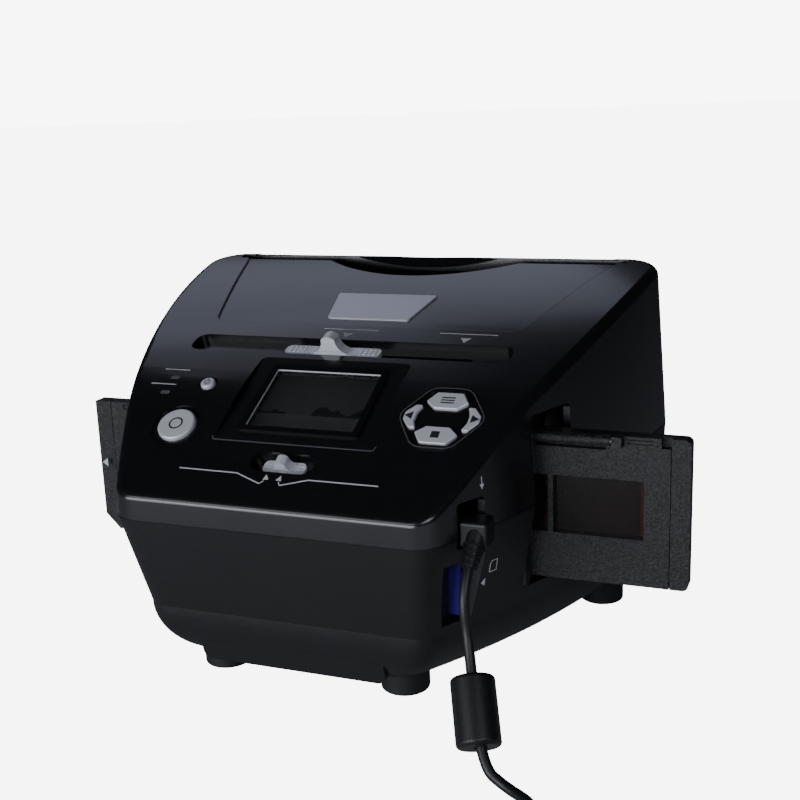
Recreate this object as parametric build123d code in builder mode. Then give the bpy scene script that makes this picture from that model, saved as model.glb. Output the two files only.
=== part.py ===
from build123d import *
import math
import os

# A desktop scanner for 35 mm film strips and paper photos, in millimetres.
# The origin is on the table, under the middle of the casing: +X to the right
# as the user sees it, +Y to the back and +Z up.

# ---- Casing ----
front_y = -92.3
back_y = 106.0
part_z = 75.0
part_rise = 1.7
front_half = 66.0
middle_half = 106.5
back_half = 124.0
front_corner = 12.0
back_corner = 22.0
wall = 2.5
draft = 3.5
casing_height = 95.0
edge_round = 4.0
seam = 0.5

# Panel: a flat slope at the front, a tight bend and a long shallow crown
lip_y = -90.5
lip_z = 86.0
front_slope = 33.3
bend_slope = 21.4
back_slope = 8.0
bend_front = -56.0
bend_back = -30.0
crown_back = 100.0

# Belly of the lower casing
belly_z = 34.0
base_z = 9.5
belly_round = 22.0
belly_front_y = -81.2
belly_back_y = 103.0
belly_front_half = 60.0
belly_middle_half = 103.5
belly_back_half = 123.0
belly_sections = 5
keel_half = 40.7
keel_back_y = -46.0
keel_z = 9.8

# ---- Film holder and its guide ----
film_pitch = 38.0
film_frames = 6
film_z = 74.5
window_width = 36.0
window_height = 24.0
holder_left = -117.5
holder_right = 149.5
holder_low = 43.2
holder_high = 104.2
holder_front_y = -28.0
holder_half = 3.5
strip_centre = 19.0
grip_width = 7.3
port_front_y = -37.6
port_back_y = -12.0
port_low = 40.6
port_high = 112.4

# ---- Controls on the panel ----
screen_y = -42.0
screen_z = 114.5
screen_slope = 27.06
screen_plate = 69.0
screen_plate_height = 52.3
screen_width = 48.0
screen_height = 36.0
menu_x = 57.6
menu_y = -49.1
scan_x = -54.3
scan_y = -60.6
scan_radius = 8.15
power_x = -51.0
power_y = -39.0
power_radius = 3.15
lamp_x = -68.7
film_lamp_y = -45.1
photo_lamp_y = -36.3
key_travel = 0.8
key_gap = 0.3
track_y = -9.0
track_length = 148.8
track_width = 13.3
track_depth = 3.4
slider_x = -5.5
slider_travel = 56.0
slider_shift = -1.6
switch_y = -73.25
switch_length = 27.7
switch_width = 9.7
switch_depth = 4.9
switch_floor = 1.3
plate_y = 29.1
panel_step = 0.8

# ---- Photo slot ----
slot_half = 102.5
slot_front_y = 88.4
slot_back_y = 95.0
scoop_radius = 123.0
scoop_front_y = 66.0
scoop_depth = 12.0
dip_radius = 150.0
dip_depth = 6.3
dip_run = 4.0
dip_half = 46.0
dip_floor = 148.4

# ---- Light carriage ----
rod_y = -4.0
rod_low = 52.0
rod_high = 108.0
rod_radius = 2.0
rod_left = -34.0
rod_right = 84.0
running_gap = 0.05

# ---- Film guide and the holder's hinge ----
guide_y = -25.0
guide_half = 87.0
guide_plate = 3.8
mouth_depth = 5.0
gate_width = 44.0
gate_height = 34.0
ear_y = -7.25
ear_depth = 13.5
film_height = 35.0
film_thick = 0.25
hinge_z = 102.2
hinge_spots = [103.0, -71.0]
barrel_length = 32.0
barrel_radius = 1.95
lug_width = 4.0
lug_gap = 0.4
pin_radius = 1.2

# ---- Camera and boards ----
bracket_y = -66.75
bracket_width = 48.0
bracket_top = 88.0
bracket_sheet = 2.5
lens_radius = 8.0
lens_bore = 6.5
lens_front_y = -51.5
board_thick = 1.6
board_width = 120.0
board_depth = 80.0
board_y = 40.0
photo_lamp_x = 81.4
photo_lamp_middle = 36.0
photo_lamp_top = 125.0

# ---- Sockets and the plug of the cable ----
pocket_y = -71.4
pocket_z = 79.5
pocket_width = 13.6
pocket_height = 18.0
io_front = -68.6
plug_tip_x = 63.0
plug_y = -70.55
plug_z = 77.2
tip_thick = 2.1
tip_height = 6.2
plug_body = (10.0, 11.0, 10.4)
plug_middle = (78.5, -71.0, 76.4)

# ---- Inside ----
post_spots = [(-30, -66), (30, -66), (-84, 66), (84, 66)]
post_radius = 4.0
screw_radius = 1.5
screw_seat = 14.0
screw_length = 70.0
board_z = 20.0
board_posts = [(-52, 8), (52, 8), (-52, 72), (52, 72)]
photo_low = 40.0
photo_high = 148.0
card_y = -64.6
hollow_back = -62.4
card_z = 51.3
card_thick = 2.1
card_height = 24.0
card_length = 32.0
card_tip_x = 69.0

# ---- Feet, cord ----
foot_radius = 10.1
foot_spots = [(-41.0, -55.0), (41.0, -55.0), (-97.9, 56.0), (97.9, 56.0)]
foot_names = ["front_left_foot", "front_right_foot", "rear_left_foot", "rear_right_foot"]
cord_radius = 2.0
coil_x = 148.0
coil_y = -176.0
coil_outer = 28.0
coil_pitch = 4.6
coil_low = 3.4
coil_turns_in = 5
coil_turns_out = 6
floor_gap = 0.05


def sine(angle):
    return math.sin(math.radians(angle))


def cosine(angle):
    return math.cos(math.radians(angle))


def tangent(angle):
    return math.tan(math.radians(angle))


# Panel heights at the two bends and at the back, and the two bend radii
bend_front_z = lip_z + (bend_front - lip_y) * tangent(front_slope)
front_radius = (bend_back - bend_front) / (sine(front_slope) - sine(bend_slope))
bend_back_z = bend_front_z + front_radius * (cosine(bend_slope) - cosine(front_slope))
crown_radius = (crown_back - bend_back) / (sine(bend_slope) - sine(back_slope))
crown_z = bend_back_z + crown_radius * (cosine(back_slope) - cosine(bend_slope))

parting = Plane(
    origin=(0, front_y, part_z), x_dir=(1, 0, 0), z_dir=(0, -sine(part_rise), cosine(part_rise))
)
screen_plane = Plane(
    origin=(0, screen_y, screen_z), x_dir=(1, 0, 0), z_dir=(0, -sine(screen_slope), cosine(screen_slope))
)
casing_length = (back_y - front_y) / cosine(part_rise)
front_lean = (belly_front_y - front_y) / (part_z - belly_z)


def panel_plane(x, y, lift=0.0):
    # The plane that touches the panel at x, y, with its z axis along the normal
    if y < bend_front:
        angle = front_slope
        z = lip_z + (y - lip_y) * tangent(front_slope)
    elif y < bend_back:
        angle = math.degrees(math.asin(sine(front_slope) - (y - bend_front) / front_radius))
        z = bend_front_z + front_radius * (cosine(angle) - cosine(front_slope))
    else:
        angle = math.degrees(math.asin(sine(bend_slope) - (y - bend_back) / crown_radius))
        z = bend_back_z + crown_radius * (cosine(angle) - cosine(bend_slope))
    normal = Vector(0, -sine(angle), cosine(angle))
    return Plane(origin=Vector(x, y, z) + normal * lift, x_dir=(1, 0, 0), z_dir=normal)


def casing_outline(plane, halves, near, far, inset=0.0):
    # Straight front and back, bowed sides: the casing seen from above
    front, middle, back = halves
    half_way = (near + far) / 2
    with BuildSketch(plane) as outline:
        with BuildLine():
            Line((-front, near), (front, near))
            ThreePointArc((front, near), (middle, half_way), (back, far))
            Line((back, far), (-back, far))
            ThreePointArc((-back, far), (-middle, half_way), (-front, near))
        make_face()
        fillet(outline.sketch_local.vertices().group_by(Axis.Y)[0], front_corner)
        fillet(outline.sketch_local.vertices().group_by(Axis.Y)[-1], back_corner)
        if inset:
            offset(amount=-inset)
    return outline.sketch


def parting_outline(inset=0.0, lower=0.0):
    halves = (front_half, middle_half, back_half)
    return casing_outline(parting.offset(-lower), halves, 0, casing_length, inset)


def panel_profile(inset=0.0):
    # Everything below the panel, seen from the side
    start_y = front_y - 28
    start_z = lip_z + (start_y - lip_y) * tangent(front_slope) - inset
    end_y = back_y + 24
    end_z = crown_z - inset + (end_y - crown_back) * tangent(back_slope)
    foot_z = base_z + 20
    with BuildSketch(Plane.YZ) as profile:
        with BuildLine():
            Line((start_y, start_z), (bend_front, bend_front_z - inset))
            RadiusArc((bend_front, bend_front_z - inset), (bend_back, bend_back_z - inset), front_radius)
            RadiusArc((bend_back, bend_back_z - inset), (crown_back, crown_z - inset), crown_radius)
            Polyline(
                (crown_back, crown_z - inset), (end_y, end_z), (end_y, foot_z), (start_y, foot_z),
                (start_y, start_z),
            )
        make_face()
    return profile.sketch


def upper_block(inset=0.0, rounding=0.0):
    with BuildPart() as block:
        extrude(parting_outline(inset, wall if inset else 0), amount=casing_height, taper=draft)
        extrude(panel_profile(inset), amount=back_half + 30, both=True, mode=Mode.INTERSECT)
        if rounding:
            rim = block.edges().filter_by(lambda edge: edge.center().Z > lip_z - 3)
            rim = rim.filter_by(lambda edge: abs(edge.tangent_at(0.5).Z) < 0.8)
            seams = rim.filter_by(Axis.X).filter_by(
                lambda edge: bend_front - 1 < edge.center().Y < bend_back + 1
            )
            fillet([edge for edge in rim if edge not in seams], rounding)
    return block.part


def belly_outline(z, inset, drawn_in):
    halves = (
        belly_front_half - inset - drawn_in,
        belly_middle_half - inset - drawn_in,
        belly_back_half - inset - drawn_in,
    )
    near = belly_front_y + inset + 0.9 * drawn_in
    far = belly_back_y - inset - 0.5 * drawn_in
    return casing_outline(Plane.XY.offset(z), halves, near, far)


def lower_block(inset=0.0):
    # Leaning walls down to the belly, which then rounds under to the flat base
    low = base_z + inset
    sections = []
    for step in range(belly_sections):
        turn = 90 * step / (belly_sections - 1)
        z = belly_z - (belly_z - low) * sine(turn)
        sections.append(belly_outline(z, inset, belly_round * (1 - cosine(turn))))
    with BuildPart() as block:
        loft([parting_outline(inset), belly_outline(belly_z, inset, 0)], ruled=True)
        loft(sections)
    return block.part


def rounded_polygon(plane, points, radius, grow=0.0):
    with BuildSketch(plane) as shape:
        with BuildLine():
            Polyline(*points, close=True)
        make_face()
        fillet(shape.sketch_local.vertices(), radius)
        if grow:
            offset(amount=grow)
    return shape.sketch


def finish(piece, name):
    piece.part.label = name
    export_step(piece.part, f"parts/{name}.step")


os.makedirs("parts", exist_ok=True)

# ---- Shapes shared by the casing, the keys and the trim ----
menu_plane = panel_plane(menu_x, menu_y, -0.9)
menu_hexagon = [(-18.4, 0), (-8, 16.4), (8, 16.4), (18.4, 0), (8, -16.4), (-8, -16.4)]
mode_shape = [(-4.8, 5), (4.8, 5), (8.7, 8.6), (5.4, 13.8), (-5.4, 13.8), (-8.7, 8.6)]
enter_shape = [(x, -y) for x, y in mode_shape]
left_shape = [
    (-9.2, 6.4), (-12.2, 6.2), (-15.6, 1.9), (-15.6, -1.9), (-12.2, -6.2), (-9.2, -6.4),
    (-10.8, -2.4), (-10.8, 2.4),
]
right_shape = [(-x, y) for x, y in left_shape]
plate_plane = panel_plane(0, plate_y, -panel_step)
plate_shape = [(-19.8, -13.4), (19.8, -13.4), (25, 13.4), (-25, 13.4)]
field_shape = [(-73.5, 9.3), (73.5, 9.3), (95, 82), (101.5, 98), (-101.5, 98), (-95, 82)]
scan_plane = panel_plane(scan_x, scan_y)
power_plane = panel_plane(power_x, power_y)
track_plane = panel_plane(0, track_y)
switch_plane = panel_plane(0, switch_y)
lamp_planes = [panel_plane(lamp_x, film_lamp_y), panel_plane(lamp_x, photo_lamp_y)]

# Scoop in front of the photo slot: a large round, tipped down toward the slot
scoop_top = panel_plane(0, scoop_front_y).origin
scoop_end = panel_plane(0, slot_front_y).origin - Vector(0, 0, scoop_depth)
scoop_run = (scoop_end - scoop_top).normalized()
scoop_up = scoop_run.cross(Vector(1, 0, 0)) * -1
scoop_plane = Plane(
    origin=scoop_top + scoop_up * scoop_radius - scoop_run * 60, x_dir=(1, 0, 0), z_dir=scoop_run
)


def scoop_round(extra):
    with BuildPart() as scoop:
        with BuildSketch(scoop_plane):
            Circle(scoop_radius + extra)
        extrude(amount=130)
        with BuildSketch(Plane.XY.offset(120)):
            with Locations((0, slot_back_y - 20)):
                Rectangle(150, 40)
        extrude(amount=60, mode=Mode.INTERSECT)
    return scoop.part


upper_outer = upper_block(0.0, edge_round)
lower_outer = lower_block()

# The fine step in the panel: the field runs from the photo slot to the track
with BuildPart() as field_cut:
    extrude(rounded_polygon(Plane.XY.offset(120), field_shape, 7), amount=60)
    extrude(panel_profile(panel_step), amount=150, both=True, mode=Mode.SUBTRACT)

with BuildPart() as scoop_wall:
    add(scoop_round(wall))
    add(upper_outer, mode=Mode.INTERSECT)

# Rim behind the slot, thick enough for a finger dip that slopes up to its back edge
with BuildPart() as dip_rim:
    with BuildSketch(Plane.XY.offset(dip_floor)):
        with Locations((0, (slot_back_y + back_y) / 2)):
            Rectangle(2 * dip_half, back_y - slot_back_y)
    extrude(amount=crown_z)
    add(upper_outer, mode=Mode.INTERSECT)

dip_rise = dip_depth / dip_run
with BuildPart() as dip_cut:
    with BuildSketch(Plane.XZ.offset(-(slot_back_y - 1))):
        with Locations((0, crown_z - dip_depth - dip_rise + dip_radius)):
            Circle(dip_radius)
    extrude(amount=30, dir=Vector(0, dip_run, dip_depth))

# Fine groove that shows the parting line between the two casings
with BuildPart() as seam_groove:
    extrude(parting_outline(), amount=-seam)
    extrude(parting_outline(seam), amount=-seam, mode=Mode.SUBTRACT)

# Screw posts, ended inside the wall of the panel
with BuildPart() as upper_posts:
    with BuildSketch(Plane.XY.offset(part_z - 6)):
        with Locations(*post_spots):
            Circle(post_radius)
            Circle(screw_radius, mode=Mode.SUBTRACT)
    extrude(amount=casing_height)
    add(upper_block(wall / 2), mode=Mode.INTERSECT)

# ---- Upper casing ----
with BuildPart() as upper_casing:
    add(upper_outer)
    add(upper_block(wall), mode=Mode.SUBTRACT)
    # Thicker floors under the screen, the slider track and the small switch
    with BuildSketch(screen_plane):
        Rectangle(screen_plate + 4, screen_plate_height)
    extrude(amount=-3.5)
    with BuildSketch(track_plane.offset(-1.2)):
        Rectangle(track_length + 6, track_width + 6)
    extrude(amount=-4.4)
    with BuildSketch(switch_plane.offset(-1.2)):
        Rectangle(switch_length + 4, switch_width + 4)
    extrude(amount=1.2 - switch_depth - switch_floor)
    add(scoop_wall.part)
    add(dip_rim.part)
    # Screen pocket and window
    with BuildSketch(screen_plane):
        RectangleRounded(screen_plate, screen_plate_height, 3)
    extrude(amount=6, mode=Mode.SUBTRACT)
    with BuildSketch(screen_plane):
        Rectangle(screen_width + 1, screen_height + 1)
    extrude(amount=-4, mode=Mode.SUBTRACT)
    # Menu keys: a shallow pocket and four holes
    extrude(rounded_polygon(menu_plane, menu_hexagon, 7), amount=5, mode=Mode.SUBTRACT)
    for key_shape in (mode_shape, enter_shape, left_shape, right_shape):
        extrude(rounded_polygon(menu_plane, key_shape, 0.7, key_gap), amount=-6, mode=Mode.SUBTRACT)
    # Scan and power keys
    for key_plane, radius, dish in ((scan_plane, scan_radius, 2.9), (power_plane, power_radius, 1.2)):
        with BuildSketch(key_plane.offset(-0.6)):
            Circle(radius + dish)
        extrude(amount=4, mode=Mode.SUBTRACT)
        with BuildSketch(key_plane):
            Circle(radius + key_gap)
        extrude(amount=-6, mode=Mode.SUBTRACT)
    # Indicator windows
    for lamp_plane in lamp_planes:
        with BuildSketch(lamp_plane):
            RectangleRounded(4.2, 2.2, 0.6)
        extrude(amount=4, both=True, mode=Mode.SUBTRACT)
    # Slider track, with the slit that the slider's stem runs in
    with BuildSketch(track_plane.offset(-track_depth)):
        RectangleRounded(track_length, track_width, 5)
    extrude(amount=8, mode=Mode.SUBTRACT)
    with BuildSketch(Plane.XY.offset(110)):
        with Locations((slider_x + slider_travel / 2, track_y)):
            SlotOverall(slider_travel + 13.6, 3.6)
    extrude(amount=30, mode=Mode.SUBTRACT)
    # Small switch
    with BuildSketch(switch_plane.offset(-switch_depth)):
        RectangleRounded(switch_length, switch_width, 4.8)
    extrude(amount=6, mode=Mode.SUBTRACT)
    with BuildSketch(switch_plane):
        SlotOverall(15, 2.6)
    extrude(amount=-8, mode=Mode.SUBTRACT)
    # Field, nameplate pocket, photo slot, scoop and the dip behind it
    add(field_cut.part, mode=Mode.SUBTRACT)
    extrude(rounded_polygon(plate_plane.offset(-0.6), plate_shape, 1.5), amount=3, mode=Mode.SUBTRACT)
    with BuildSketch(Plane.XY.offset(125)):
        with Locations((0, (slot_front_y + slot_back_y) / 2)):
            RectangleRounded(2 * slot_half, slot_back_y - slot_front_y, 1.5)
    extrude(amount=50, mode=Mode.SUBTRACT)
    add(scoop_round(0), mode=Mode.SUBTRACT)
    add(dip_cut.part, mode=Mode.SUBTRACT)
    # Side openings for the film holder, and the pocket of the cable socket
    with BuildSketch(Plane.YZ):
        with Locations(((port_front_y + port_back_y) / 2, (port_low + port_high) / 2)):
            RectangleRounded(port_back_y - port_front_y, port_high - port_low, 2)
    extrude(amount=150, both=True, mode=Mode.SUBTRACT)
    with BuildSketch(Plane.YZ.offset(60)):
        with Locations((pocket_y, pocket_z)):
            RectangleRounded(pocket_width, pocket_height, 2)
    extrude(amount=40, mode=Mode.SUBTRACT)
    # Screw posts, cut off along the parting plane
    add(upper_posts.part)
    split(bisect_by=parting, keep=Keep.TOP)
finish(upper_casing, "upper_casing")

# ---- Lower casing ----
with BuildPart() as keel:
    with BuildSketch(Plane.YZ):
        with BuildLine():
            Polyline(
                (front_y + front_lean * (part_z - 44), 44),
                (front_y + front_lean * (part_z - keel_z), keel_z),
                (keel_back_y, keel_z),
                (keel_back_y, 44),
                close=True,
            )
        make_face()
    extrude(amount=keel_half, both=True)
    fillet(keel.edges().filter_by(Axis.Y).group_by(Axis.Z)[0], 4)

with BuildPart() as keel_hollow:
    with BuildSketch(Plane.YZ):
        with BuildLine():
            Polyline(
                (front_y + front_lean * (part_z - 46) + wall, 46),
                (front_y + front_lean * (part_z - base_z - wall) + wall, base_z + wall),
                (keel_back_y - 8, base_z + wall),
                (keel_back_y - 8, 46),
                close=True,
            )
        make_face()
    extrude(amount=keel_half - wall, both=True)

card_pocket = (Pos(68, -69.5, card_z) * Box(22, 21, 33)) & lower_outer

with BuildPart() as lower_casing:
    add(lower_outer)
    add(keel.part)
    with BuildSketch(Plane.XY.offset(base_z)):
        with Locations(*foot_spots):
            Circle(foot_radius + 0.6)
    extrude(amount=11)
    add(lower_block(wall), mode=Mode.SUBTRACT)
    add(keel_hollow.part, mode=Mode.SUBTRACT)
    add(seam_groove.part, mode=Mode.SUBTRACT)
    # Screw posts and the stands of the boards and guides inside
    for spot in post_spots:
        with BuildSketch(Plane.XY.offset(base_z)):
            with Locations(spot):
                Circle(post_radius + 1)
        extrude(amount=part_z + 6 - base_z)
    with BuildSketch(Plane.XY.offset(base_z)):
        with Locations(*board_posts):
            Circle(3)
    extrude(amount=board_z - base_z)
    with BuildSketch(Plane.XY.offset(base_z)):
        with Locations((-56, guide_y), (56, guide_y)):
            Rectangle(8, 14)
    extrude(amount=port_low - base_z)
    with BuildSketch(Plane.XY.offset(base_z + 1.5)):
        with Locations((-80, 88), (80, 88)):
            Rectangle(10, 9)
    extrude(amount=photo_low - base_z - 1.5)
    add(card_pocket)
    # Side openings for the film holder, and the pocket of the cable socket
    with BuildSketch(Plane.YZ):
        with Locations(((port_front_y + port_back_y) / 2, (port_low + port_high) / 2)):
            RectangleRounded(port_back_y - port_front_y, port_high - port_low, 2)
    extrude(amount=150, both=True, mode=Mode.SUBTRACT)
    with BuildSketch(Plane.YZ.offset(60)):
        with Locations((pocket_y, pocket_z)):
            RectangleRounded(pocket_width, pocket_height, 2)
    extrude(amount=40, mode=Mode.SUBTRACT)
    # Finger hollow and slot of the memory card
    with BuildSketch(Plane.XY.offset(37.8)):
        with Locations((81, -70.5)):
            Circle(17)
        with Locations((81, hollow_back + 20)):
            Rectangle(40, 40, mode=Mode.SUBTRACT)
    extrude(amount=27, mode=Mode.SUBTRACT)
    with BuildSketch(Plane.YZ.offset(50)):
        with Locations((card_y, card_z)):
            Rectangle(card_thick + 0.8, card_height + 0.8)
    extrude(amount=40, mode=Mode.SUBTRACT)
    # Screw holes from below, and the stand tops cut off along the parting plane
    with BuildSketch(Plane.XY.offset(base_z)):
        with Locations(*post_spots):
            Circle(screw_radius)
    extrude(amount=part_z, mode=Mode.SUBTRACT)
    with BuildSketch(Plane.XY.offset(base_z)):
        with Locations(*post_spots):
            Circle(screw_radius + 1.6)
    extrude(amount=screw_seat - base_z, mode=Mode.SUBTRACT)
    with BuildSketch(Plane.XY.offset(board_z)):
        with Locations(*board_posts):
            Circle(1.2)
    extrude(amount=-6, mode=Mode.SUBTRACT)
    split(bisect_by=parting, keep=Keep.BOTTOM)
finish(lower_casing, "lower_casing")

for name, (x, y) in zip(foot_names, foot_spots):
    with BuildPart() as foot:
        with BuildSketch(Plane.XY):
            with Locations((x, y)):
                Circle(foot_radius)
        extrude(amount=base_z)
        fillet(foot.edges().group_by(Axis.Z)[0], 1.2)
    finish(foot, name)

with BuildPart() as case_screws:
    for spot in post_spots:
        with BuildSketch(Plane.XY.offset(screw_seat)):
            with Locations(spot):
                Circle(screw_radius + 1.4)
        extrude(amount=-2)
        with BuildSketch(Plane.XY.offset(screw_seat)):
            with Locations(spot):
                Circle(screw_radius)
        extrude(amount=screw_length)
finish(case_screws, "case_screws")

# ---- Screen ----
with BuildPart() as lcd_frame:
    with BuildSketch(screen_plane):
        RectangleRounded(screen_width + 5, screen_height + 5, 1.5)
        Rectangle(screen_width - 0.6, screen_height - 0.6, mode=Mode.SUBTRACT)
    extrude(amount=0.9)
finish(lcd_frame, "lcd_frame")

with BuildPart() as lcd_window:
    with BuildSketch(screen_plane):
        Rectangle(screen_width + 1, screen_height + 1)
    extrude(amount=-1.2)
finish(lcd_window, "lcd_window")

with BuildPart() as lcd_module:
    with BuildSketch(screen_plane.offset(-3.5)):
        Rectangle(56, 45)
    extrude(amount=-3.4)
finish(lcd_module, "lcd_module")

# ---- Menu keys and their ring ----
with BuildPart() as nav_ring:
    extrude(rounded_polygon(menu_plane, menu_hexagon, 7, -0.1), amount=1.1)
    extrude(rounded_polygon(menu_plane, menu_hexagon, 7, -1.2), amount=2, mode=Mode.SUBTRACT)
finish(nav_ring, "nav_ring")

menu_keys = {
    "mode_button": mode_shape,
    "enter_button": enter_shape,
    "left_button": left_shape,
    "right_button": right_shape,
}
for name, key_shape in menu_keys.items():
    with BuildPart() as key:
        extrude(rounded_polygon(menu_plane.offset(-3.4), key_shape, 0.7), amount=4.6)
        extrude(rounded_polygon(menu_plane.offset(-3.4), key_shape, 0.7, 0.7), amount=1)
        fillet(key.faces().sort_by(lambda face: face.center().dot(menu_plane.z_dir))[-1].edges(), 0.5)
    finish(key, name)

# ---- Round keys ----
round_keys = (("scan_button", scan_plane, scan_radius), ("power_button", power_plane, power_radius))
for name, key_plane, radius in round_keys:
    with BuildPart() as key:
        with BuildSketch(key_plane.offset(-3.8)):
            Circle(radius)
        extrude(amount=5)
        fillet(key.edges().sort_by(lambda edge: edge.center().dot(key_plane.z_dir))[-1], 0.9)
        with BuildSketch(key_plane.offset(-3.8)):
            Circle(radius + 1)
        extrude(amount=1)
    finish(key, name)

# ---- Nameplate, indicator windows ----
with BuildPart() as nameplate:
    extrude(rounded_polygon(plate_plane.offset(-0.6), plate_shape, 1.5, -0.15), amount=1.3)
    chamfer(nameplate.faces().sort_by(lambda face: face.center().dot(plate_plane.z_dir))[-1].edges(), 0.35)
finish(nameplate, "nameplate")

with BuildPart() as led_windows:
    for lamp_plane in lamp_planes:
        with BuildSketch(lamp_plane):
            RectangleRounded(4.2, 2.2, 0.6)
        extrude(amount=-7)
finish(led_windows, "led_windows")

# ---- Key boards and their switches ----
left_board_plane = panel_plane(-57, -50, -11.6)
right_board_plane = menu_plane.offset(-11.2)
with BuildPart() as left_button_board:
    with BuildSketch(left_board_plane):
        RectangleRounded(30, 38, 1)
    extrude(amount=board_thick)
finish(left_button_board, "left_button_board")

with BuildPart() as right_button_board:
    with BuildSketch(right_board_plane):
        RectangleRounded(34, 32, 1)
    extrude(amount=board_thick)
finish(right_button_board, "right_button_board")

scan_on_board = left_board_plane.to_local_coords(scan_plane.offset(-10).origin)
power_on_board = left_board_plane.to_local_coords(power_plane.offset(-10).origin)
with BuildPart() as tact_switches:
    with BuildSketch(left_board_plane.offset(board_thick)):
        with Locations((scan_on_board.X, scan_on_board.Y), (power_on_board.X, power_on_board.Y)):
            Rectangle(6, 6)
    extrude(amount=3.4)
    with BuildSketch(left_board_plane.offset(board_thick)):
        with Locations((scan_on_board.X, scan_on_board.Y), (power_on_board.X, power_on_board.Y)):
            Circle(1.6)
    extrude(amount=4.8)
    with BuildSketch(right_board_plane.offset(board_thick)):
        with Locations((0, 9), (0, -9), (-12.6, 0), (12.6, 0)):
            Rectangle(4.5, 4.5)
    extrude(amount=3.4)
    with BuildSketch(right_board_plane.offset(board_thick)):
        with Locations((0, 9), (0, -9), (-12.6, 0), (12.6, 0)):
            Circle(1.4)
    extrude(amount=4.8)
finish(tact_switches, "tact_switches")

# ---- Film / photo slider on top of its light carriage ----
slider_plane = track_plane.offset(-track_depth + key_gap)
slider_side = Plane(
    origin=slider_plane.origin + Vector(slider_x, 0, 0), x_dir=(1, 0, 0), z_dir=-slider_plane.y_dir
)
with BuildPart() as focus_slider:
    with BuildSketch(slider_plane):
        with Locations((slider_x, slider_shift)):
            RectangleRounded(44.5, 6.8, 2.6)
    extrude(amount=2.2)
    with BuildSketch(slider_side.offset(-slider_shift)):
        with BuildLine():
            Line((-9.5, 1), (9.5, 1))
            Line((9.5, 1), (9.5, 2.2))
            ThreePointArc((9.5, 2.2), (5.2, 4), (3.2, 9))
            ThreePointArc((3.2, 9), (0, 10.4), (-3.2, 9))
            ThreePointArc((-3.2, 9), (-5.2, 4), (-9.5, 2.2))
            Line((-9.5, 2.2), (-9.5, 1))
        make_face()
    extrude(amount=2.7, both=True)
    for side in (-1, 1):
        with BuildSketch(slider_plane.offset(2.2)):
            with Locations((slider_x + side * 16.5, slider_shift)):
                with GridLocations(2.2, 1.7, 4, 3):
                    Circle(0.5)
        extrude(amount=0.4)
finish(focus_slider, "focus_slider")

with BuildPart() as light_carriage:
    with Locations((0, -9.35, 80)):
        Box(40, 3.7, 72)
    for rod_z in (rod_low, rod_high):
        with BuildSketch(Plane.YZ.offset(-16)):
            with Locations((rod_y, rod_z)):
                Circle(4)
        extrude(amount=32)
    for rod_z in (rod_low, rod_high):
        with BuildSketch(Plane.YZ.offset(-20)):
            with Locations((rod_y, rod_z)):
                Circle(rod_radius + running_gap)
        extrude(amount=40, mode=Mode.SUBTRACT)
    # Stem up through the slit to the underside of the slider
    with Locations((slider_x, track_y, 125)):
        Box(12, 2.6, 20)
    with BuildSketch(slider_plane):
        Rectangle(120, 60)
    extrude(amount=30, mode=Mode.SUBTRACT)
finish(light_carriage, "light_carriage")

for name, rod_z in (("lower_guide_rod", rod_low), ("upper_guide_rod", rod_high)):
    with BuildPart() as rod:
        with BuildSketch(Plane.YZ.offset(rod_left)):
            with Locations((rod_y, rod_z)):
                Circle(rod_radius)
        extrude(amount=rod_right - rod_left)
        chamfer(rod.edges().filter_by(GeomType.CIRCLE), 0.3)
    finish(rod, name)

with BuildPart() as film_backlight:
    with Locations((0, -14, film_z)):
        Box(44, 5.6, 37)
finish(film_backlight, "film_backlight")

with BuildPart() as backlight_diffuser:
    with Locations((0, -17.5, film_z)):
        Box(42, 1.4, 35)
finish(backlight_diffuser, "backlight_diffuser")

# ---- Small mode switch ----
knob_plane = switch_plane.offset(-switch_depth + key_gap)
knob_side = Plane(origin=knob_plane.origin, x_dir=(1, 0, 0), z_dir=-knob_plane.y_dir)
with BuildPart() as mode_switch_knob:
    with BuildSketch(knob_plane):
        RectangleRounded(18.2, 6.2, 2.4)
    extrude(amount=1.6)
    with BuildSketch(knob_side):
        with BuildLine():
            Line((-6, 0.6), (6, 0.6))
            Line((6, 0.6), (6, 1.6))
            ThreePointArc((6, 1.6), (3.4, 2.8), (2.2, 6))
            ThreePointArc((2.2, 6), (0, 6.9), (-2.2, 6))
            ThreePointArc((-2.2, 6), (-3.4, 2.8), (-6, 1.6))
            Line((-6, 1.6), (-6, 0.6))
        make_face()
    extrude(amount=2.3, both=True)
    for side in (-1, 1):
        with BuildSketch(knob_plane.offset(1.6)):
            with Locations((side * 7.2, 0)):
                with GridLocations(1.4, 1.4, 2, 3):
                    Circle(0.4)
        extrude(amount=0.3)
    with BuildSketch(knob_plane):
        Rectangle(4, 1.8)
    extrude(amount=-4.4)
finish(mode_switch_knob, "mode_switch_knob")

with BuildPart() as mode_switch_body:
    with BuildSketch(switch_plane.offset(-switch_depth - 2)):
        Rectangle(22, 7)
    extrude(amount=-3)
    with BuildSketch(switch_plane.offset(-switch_depth - 2)):
        Rectangle(12.4, 2.6)
    extrude(amount=-2.4, mode=Mode.SUBTRACT)
finish(mode_switch_body, "mode_switch_body")

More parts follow.
